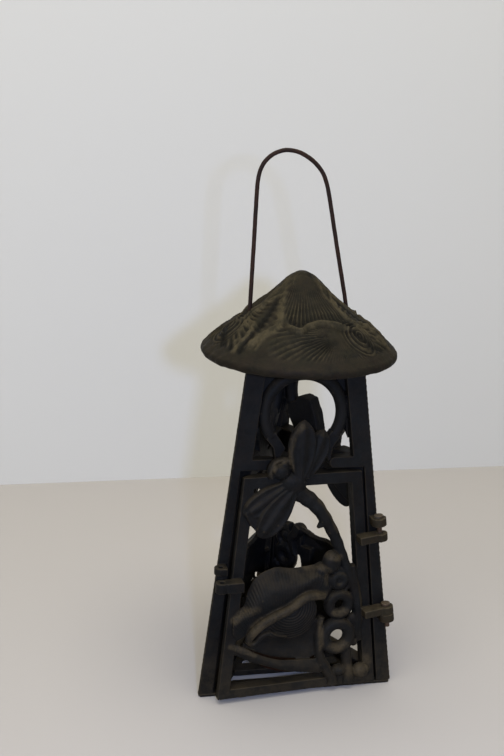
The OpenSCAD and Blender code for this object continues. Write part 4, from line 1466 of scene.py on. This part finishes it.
@dataclass
class RoofLeaves:
    """The leaves in relief on the roof, each a third of a turn from the next.

    A point is a radius and a bearing. A ridge or furrow is its points, its height and its half width.
    """

    fan: tuple = ((10, -66), (17, -52), (25, -42), (31, -36), (35.5, -27), (37.5, -21), (38.8, -16), (38.2, -11),
                  (35.5, -6.5), (34, 0), (33.2, 6), (33.4, 13), (34.4, 20), (36.4, 26), (38.6, 31), (40.5, 35),
                  (41, 41), (35, 44), (26, 42), (17, 39), (10, 34))
    fold: tuple = ((16, -62), (25, -76), (32, -77), (37, -70), (38, -62), (44, -58), (50, -57), (54, -55), (52, -50),
                   (45, -45), (40, -40), (36, -36), (31, -37), (25, -43))
    full_radius: float = 34.0
    fan_lift: float = 2.5
    fold_lift: float = 1.2
    lip: tuple = (1.0, 0.7, 0.9)
    lip_furrow: tuple = (0.6, 3.8, 2.0)
    vein_turn: float = 4.4
    vein_lift: float = 0.5
    roll: tuple = (44.5, -83)
    crisp: tuple = (-32, -20)
    roll_radius: float = 7.0
    roll_lift: float = 2.5
    roll_line: float = 2.3
    roll_ring: float = 0.45
    low_vein_root: tuple = (42.0, 17)
    low_vein_turn: float = 6.0
    low_vein_lift: float = 0.45
    lines: tuple = ((((10, -80), (17, -52), (25, -42), (31, -36), (36, -36), (40, -40), (45, -45), (49, -48)), 1.3, 2.0),
                    (((19, -64), (25, -76), (32, -77), (37, -70), (38, -60), (44, -56), (50, -57), (56, -58)), 1.3, 1.9),
                    (((7, 91), (17, 39), (26, 45), (35, 46), (41, 51), (49, 57)), 1.2, 1.9),
                    (((41, -40), (46, -42), (51, -43)), 0.8, 1.0),
                    (((21, -58), (29, -54), (35, -53), (39, -51)), -1.2, 1.8),
                    (((43, -52), (48, -53), (54, -53)), -0.9, 1.5),
                    (((45, -66), (50, -64), (56, -62)), -1.0, 1.5),
                    (((40, 34), (45, 35), (49, 41), (53, 50)), -1.0, 1.7),
                    (((44, -8), (45, 3), (44, 14)), -0.5, 2.6))

    def relief(self, spots: np.ndarray) -> tuple[np.ndarray, np.ndarray]:
        """How far the leaves stand over the plain roof.

        Args:
            spots: Plan points in millimetres.

        Returns:
            A height for each point, and the share of it that its ridges and furrows give.
        """
        radius = np.hypot(*spots.T)
        taper = np.minimum(1, radius / self.full_radius)
        over, extra, veins = (np.zeros(len(spots)) for _ in range(3))
        clear = np.ones(len(spots))
        for n in range(3):
            turn = math.radians(-120 * n)
            spin = np.array([[math.cos(turn), math.sin(turn)], [-math.sin(turn), math.cos(turn)]])
            here = spots @ spin
            fan = within(here, curve(at_bearing(self.fan), 3))
            fold = within(here, curve(at_bearing(self.fold), 3))
            bearing = np.degrees(np.arctan2(here[:, 0], -here[:, 1]))
            crisp = smooth_step(bearing, *self.crisp)
            blur = 1 + 4 * (1 - crisp)
            over = np.maximum(over, self.fan_lift * smooth_step(fan / blur, -0.7, 0.7))
            over = np.maximum(over, self.fold_lift * smooth_step(fold, -0.6, 0.9))
            away = np.linalg.norm(here - at_bearing((self.roll,))[0], axis=1)
            dome = np.sqrt(np.clip(1 - (away / self.roll_radius) ** 2, 0, 1))
            over = np.maximum(over, self.roll_lift * dome)
            extra += self.roll_ring * np.cos(away * 2 * math.pi / self.roll_line) * smooth_step(-away, -13, -8)
            front = smooth_step(radius, 26, 33) * crisp
            for (height, middle, width), sign in ((self.lip, 1), (self.lip_furrow, -1)):
                extra += sign * height * front * np.exp(-((fan - middle) / width) ** 2) * (fan > -1)
            spread = np.cos(bearing * 2 * math.pi / self.vein_turn) * smooth_step(fan, 1.5, 4)
            veins += self.vein_lift * spread * smooth_step(radius, 9, 18)
            veins += self.low_veins(here, radius) * (fan < -1)
            clear *= smooth_step(away, 8, 13)
            for line, height, width in self.lines:
                off = line_distance(here, curve(at_bearing(line), 4))
                extra += height * np.exp(-(off / width) ** 2)
        broken = 0.75 + 0.35 * waves(np.column_stack([spots, np.zeros(len(spots))]), 14, 3)
        fine = (extra + veins * clear * broken) * taper
        return over * taper + fine, fine

    def low_veins(self, here: np.ndarray, radius: np.ndarray) -> np.ndarray:
        """The veins that spread from the heart of the leaf under the scalloped edge.

        Args:
            here: Plan points.
            radius: Their distances from the middle.

        Returns:
            A height for each point.
        """
        off = here - at_bearing((self.low_vein_root,))[0]
        angle = np.degrees(np.arctan2(off[:, 0], -off[:, 1]))
        away = np.hypot(*off.T)
        window = smooth_step(away, 3, 7) * smooth_step(-away, -44, -32) * smooth_step(-radius, -56, -53)
        return self.low_vein_lift * np.cos(angle * 2 * math.pi / self.low_vein_turn) * window


@dataclass
class Roof:
    """The round roof of overlapping leaves, with three ribs and nibs under it and two holes for the wire."""

    leaves: RoofLeaves = field(default_factory=RoofLeaves)
    rise: float = 47.9
    profile: tuple = ((0, 1), (0.07, 0.995), (0.18, 0.89), (0.32, 0.715), (0.465, 0.56), (0.605, 0.437), (0.75, 0.34),
                      (0.89, 0.213), (1, 0.105))
    rim_radius: float = 56.1
    rim_round: float = 3.5
    wall: float = 5.6
    rib: tuple = (18.0, 39.4, 3.5)
    nib: tuple = (14.0, 20.4, 2.0)
    nib_low: float = 5.0
    cover: float = 2.8
    hole: float = 1.8
    legs: tuple = (((-31.6, 216), (-30.9, 246)), ((32.9, 216), (26.6, 246)))
    rough: float = 0.2
    around: int = 720
    along: int = 150
    hard_edge: float = 40.0
    mark_full: float = 0.7
    marks: np.ndarray | None = None

    def height(self, r: np.ndarray) -> np.ndarray:
        """Height of the plain roof at a distance from the middle."""
        line = curve(self.profile, 6)
        return PANELS.height + self.rise * np.interp(r / self.rim_radius, line[:, 0], line[:, 1])

    def shell(self) -> Part:
        """The round shell with its leaves, as a grid round the middle."""
        coarse = 1
        around, along = self.around // coarse, self.along // coarse
        turn = np.arange(around) * 2 * math.pi / around
        outer_r = np.linspace(0.05, self.rim_radius, along)
        rim_turn = np.radians(np.arange(60, -181, -8))
        inner_r = np.linspace(self.rim_radius - self.rim_round, 0.05, 40)
        radius = np.concatenate([outer_r, self.rim_radius + self.rim_round * np.cos(rim_turn), inner_r])
        level = np.concatenate([self.height(outer_r), PANELS.height + self.rim_round * np.sin(rim_turn),
                                self.height(inner_r) - self.wall])
        points = np.dstack([radius[:, None] * np.cos(turn), radius[:, None] * np.sin(turn),
                            np.repeat(level[:, None], around, 1)])
        spots = points[:along, :, :2].reshape(-1, 2)
        fade = np.clip((self.rim_radius - np.hypot(*spots.T)) / 3, 0, 1)
        lift, fine = self.leaves.relief(spots)
        points[:along, :, 2] += (lift * fade).reshape(along, around)
        self.marks = (fine * fade).reshape(along, around)
        rows = len(radius)
        faces = [[i * around + k, i * around + (k + 1) % around, (i + 1) * around + (k + 1) % around, (i + 1) * around + k]
                 for i in range(rows - 1) for k in range(around)]
        faces += [list(range(around - 1, -1, -1)), [(rows - 1) * around + k for k in range(around)]]
        return points.reshape(-1, 3), faces

    def under(self) -> list:
        """The ribs that rest on the body, and the nibs that keep the roof in its middle."""
        upright = Matrix.Rotation(math.pi / 2, 4, "X")
        made = []
        for (inner, outer, half), low in ((self.rib, 0.0), (self.nib, self.nib_low)):
            high = outer if low == 0 else self.rib[0] + self.nib[2]
            head = [(r, float(self.height(np.array(r))) - self.cover) for r in np.linspace(high, inner, 6)]
            foot = [(inner, PANELS.height - low), (outer, PANELS.height - low)]
            if high != outer:
                foot += [(outer, PANELS.height + 0.5), (high, PANELS.height + 0.5)]
            for n in range(3):
                spin = Matrix.Rotation(math.radians(n * 120 - 30), 4, "Z")
                made.append(moved(prism(foot + head, -half, half), spin @ upright))
        return made

    def rub(self, mesh: bpy.types.Mesh) -> None:
        """Marks the ridges of the relief as rubbed, and its furrows for painted shade, for the roof's finish."""
        place, normal = points_of(mesh)
        along, around = self.marks.shape
        turn = np.arctan2(place[:, 1], place[:, 0]) / (2 * math.pi)
        row = np.rint(np.hypot(place[:, 0], place[:, 1]) / self.rim_radius * (along - 1)).astype(int)
        found = self.marks[np.clip(row, 0, along - 1), np.rint(turn * around).astype(int) % around]
        # Ridges are marked above zero as rubbed; furrows below zero, which the finish darkens as painted shade.
        made = mesh.attributes.new(RUBBED_AND_SHADE, "FLOAT", "POINT")
        made.data.foreach_set("value", np.clip(found / self.mark_full, -1, 1) * (normal[:, 2] > 0))

    def build(self, material: bpy.types.Material) -> None:
        """Makes and dresses the roof."""
        points, faces = outward(self.shell())
        piece = make_object("roof_casting", points, faces)
        place, normal = points_of(piece.data)
        uneven = self.rough * (waves(place, 11, 5) + 0.5 * waves(place, 4.5, 6))
        set_points(piece.data, place + normal * (uneven - self.rough)[:, None])
        combine(piece, self.under(), "UNION")
        combine(piece, [rod((a[0], 0, a[1]), (b[0], 0, b[1]), self.hole) for a, b in self.legs], "DIFFERENCE")
        for face in piece.data.polygons:
            face.use_smooth = True
        piece.data.set_sharp_from_angle(angle=math.radians(self.hard_edge))
        self.rub(piece.data)
        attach(piece, Body.LANTERN.value)
        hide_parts("roof")
        wear(piece, material)
        LOG.info("roof_casting: %d faces", len(piece.data.polygons))


@dataclass
class Fittings:
    """The pieces that are recast from their own solids: wire, floor, cup, pins and screws."""

    frame: dict

    def build(self, finishes: dict) -> None:
        """Makes and dresses them.

        Args:
            finishes: Material for each slot.
        """
        plan = (("handle", Slot.WIRE, 0.32, 0.06), ("base_plate", Slot.BODY, 0.5, 0.08),
                ("candle_cup", Slot.CUP, 0.4, 0.08), ("upper_hinge_pin", Slot.STEEL, 0.25, 0.05),
                ("lower_hinge_pin", Slot.STEEL, 0.25, 0.05), ("cup_screw", Slot.STEEL, 0.25, 0.04),
                ("base_screws", Slot.STEEL, 0.25, 0.03), ("corner_screws", Slot.STEEL, 0.25, 0.03))
        for node, slot, voxel, rough in plan:
            piece = recast(self.frame["nodes"][node], node + "_piece", Body.LANTERN, slot, voxel, rough)
            wear(piece, finishes[slot])


# The studio


@dataclass
class Studio:
    """Pale table and backdrop, soft lamps, and the camera of the photograph."""

    aim: tuple = (0.0, 0.0, 110.0)
    azimuth: float = -14.427
    elevation: float = 22.827
    distance: float = 639.84
    roll: float = 3.207
    look_right: float = 38.41
    look_up: float = -126.41
    focal: float = 1000.0
    frame_height: float = 756.0
    sensor: float = 36.0
    wall_back: float = 330.0

    def camera(self) -> None:
        """The camera: focal length and the aim's offsets are in pixels of a 504 by 756 frame."""
        az, el, roll = (math.radians(a) for a in (self.azimuth, self.elevation, self.roll))
        back = Vector((math.sin(az) * math.cos(el), -math.cos(az) * math.cos(el), math.sin(el)))
        ahead = -back
        right = ahead.cross(Vector((0, 0, 1))).normalized()
        up = right.cross(ahead)
        right, up = (math.cos(roll) * right + math.sin(roll) * up, math.cos(roll) * up - math.sin(roll) * right)
        a, b = self.look_right / self.focal, self.look_up / self.focal
        right, ahead = math.cos(a) * right + math.sin(a) * ahead, math.cos(a) * ahead - math.sin(a) * right
        up, ahead = math.cos(b) * up + math.sin(b) * ahead, math.cos(b) * ahead - math.sin(b) * up
        data = bpy.data.cameras.new("camera")
        data.sensor_width = self.sensor
        data.lens = self.focal * self.sensor / self.frame_height
        data.clip_start, data.clip_end = 0.01, 20
        camera = bpy.data.objects.new("camera", data)
        bpy.context.scene.collection.objects.link(camera)
        spot = (Vector(self.aim) + back * self.distance) * MM
        turn = Matrix((right, up, -ahead)).transposed().to_4x4()
        camera.matrix_world = Matrix.Translation(spot) @ turn
        bpy.context.scene.camera = camera

    def stage(self) -> None:
        """The table and the wall behind it, which don't show from their back."""
        for name, corners, colour in (
                ("table", [(-2, -2, 0), (2, -2, 0), (2, 2, 0), (-2, 2, 0)],
                 (0.395, 0.375, 0.365)),
                ("backdrop", [(-2, self.wall_back * MM, 0), (2, self.wall_back * MM, 0),
                              (2, self.wall_back * MM, 3), (-2, self.wall_back * MM, 3)], (0.6, 0.605, 0.61))):
            made = make_object(name, np.array(corners) / MM, [[0, 1, 2, 3]])
            material = bpy.data.materials.new(name)
            material.use_nodes = True
            shader = material.node_tree.nodes["Principled BSDF"]
            shader.inputs["Base Color"].default_value = (*colour, 1)
            shader.inputs["Roughness"].default_value = 0.85
            graph = Graph(material.node_tree)
            choice = graph.node("ShaderNodeMixShader")
            graph.feed(choice.inputs[0], graph.node("ShaderNodeNewGeometry").outputs["Backfacing"])
            graph.feed(choice.inputs[1], shader.outputs[0])
            graph.feed(choice.inputs[2], graph.node("ShaderNodeBsdfTransparent").outputs[0])
            graph.feed(material.node_tree.nodes["Material Output"].inputs["Surface"], choice.outputs[0])
            made.data.materials.append(material)
            made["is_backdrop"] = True

    def lamp(self, name: str, place: tuple, size: float, power: float, colour: Colour) -> None:
        """One square soft lamp, aimed at the lantern.

        Args:
            name: The lamp's name.
            place: Where it hangs, in metres.
            size: Its side in metres.
            power: Its strength in watts.
            colour: Its colour.
        """
        data = bpy.data.lights.new(name, "AREA")
        data.size = size
        data.energy = power
        data.color = colour
        made = bpy.data.objects.new(name, data)
        made.location = place
        made.rotation_euler = (Vector((0, 0, 0.13)) - Vector(place)).to_track_quat("-Z", "Y").to_euler()
        bpy.context.scene.collection.objects.link(made)

    def build(self) -> None:
        """Sets up the whole studio."""
        self.camera()
        self.stage()
        self.lamp("key", (-0.085, -0.66, 0.385), 0.03, 2.5, (0.41, 0.55, 1))
        self.lamp("fill", (-1.1, -0.9, 0.9), 1.4, 8.5, (1, 0.965, 0.85))
        self.lamp("top", (0, -0.1, 1.6), 1.2, 18.4, (1, 0.965, 0.85))
        world = bpy.data.worlds.new("studio")
        world.use_nodes = True
        world.node_tree.nodes["Background"].inputs["Color"].default_value = (1, 0.95, 0.8, 1)
        world.node_tree.nodes["Background"].inputs["Strength"].default_value = 0.64
        bpy.context.scene.world = world
        bpy.context.scene.view_settings.view_transform = "Standard"


def corners() -> list:
    """The shown object's box as plain numbers."""
    return [list(c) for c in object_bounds()]


def main() -> None:
    """Builds the lantern and its studio."""
    logging.basicConfig(level=logging.INFO, format="%(message)s")
    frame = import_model()
    Studio().build()
    effects = Effects()
    finishes = {slot: finish.build(effects) for slot, finish in
                ((Slot.BODY, IRON), (Slot.ROOF, ROOF_IRON), (Slot.WIRE, WIRE), (Slot.CUP, CUP), (Slot.STEEL, STEEL))}
    worn = WORN_IRON.build(effects)
    FrontFrame(frame).build(finishes[Slot.BODY], worn)
    RearPanel("left_rear_panel", -120, 21).build(finishes[Slot.BODY])
    RearPanel("right_rear_panel", 120, 31).build(finishes[Slot.BODY])
    DoorPiece(frame).build(finishes[Slot.BODY], worn)
    Roof().build(finishes[Slot.ROOF])
    Fittings(frame).build(finishes)


if __name__ == "__main__":
    main()
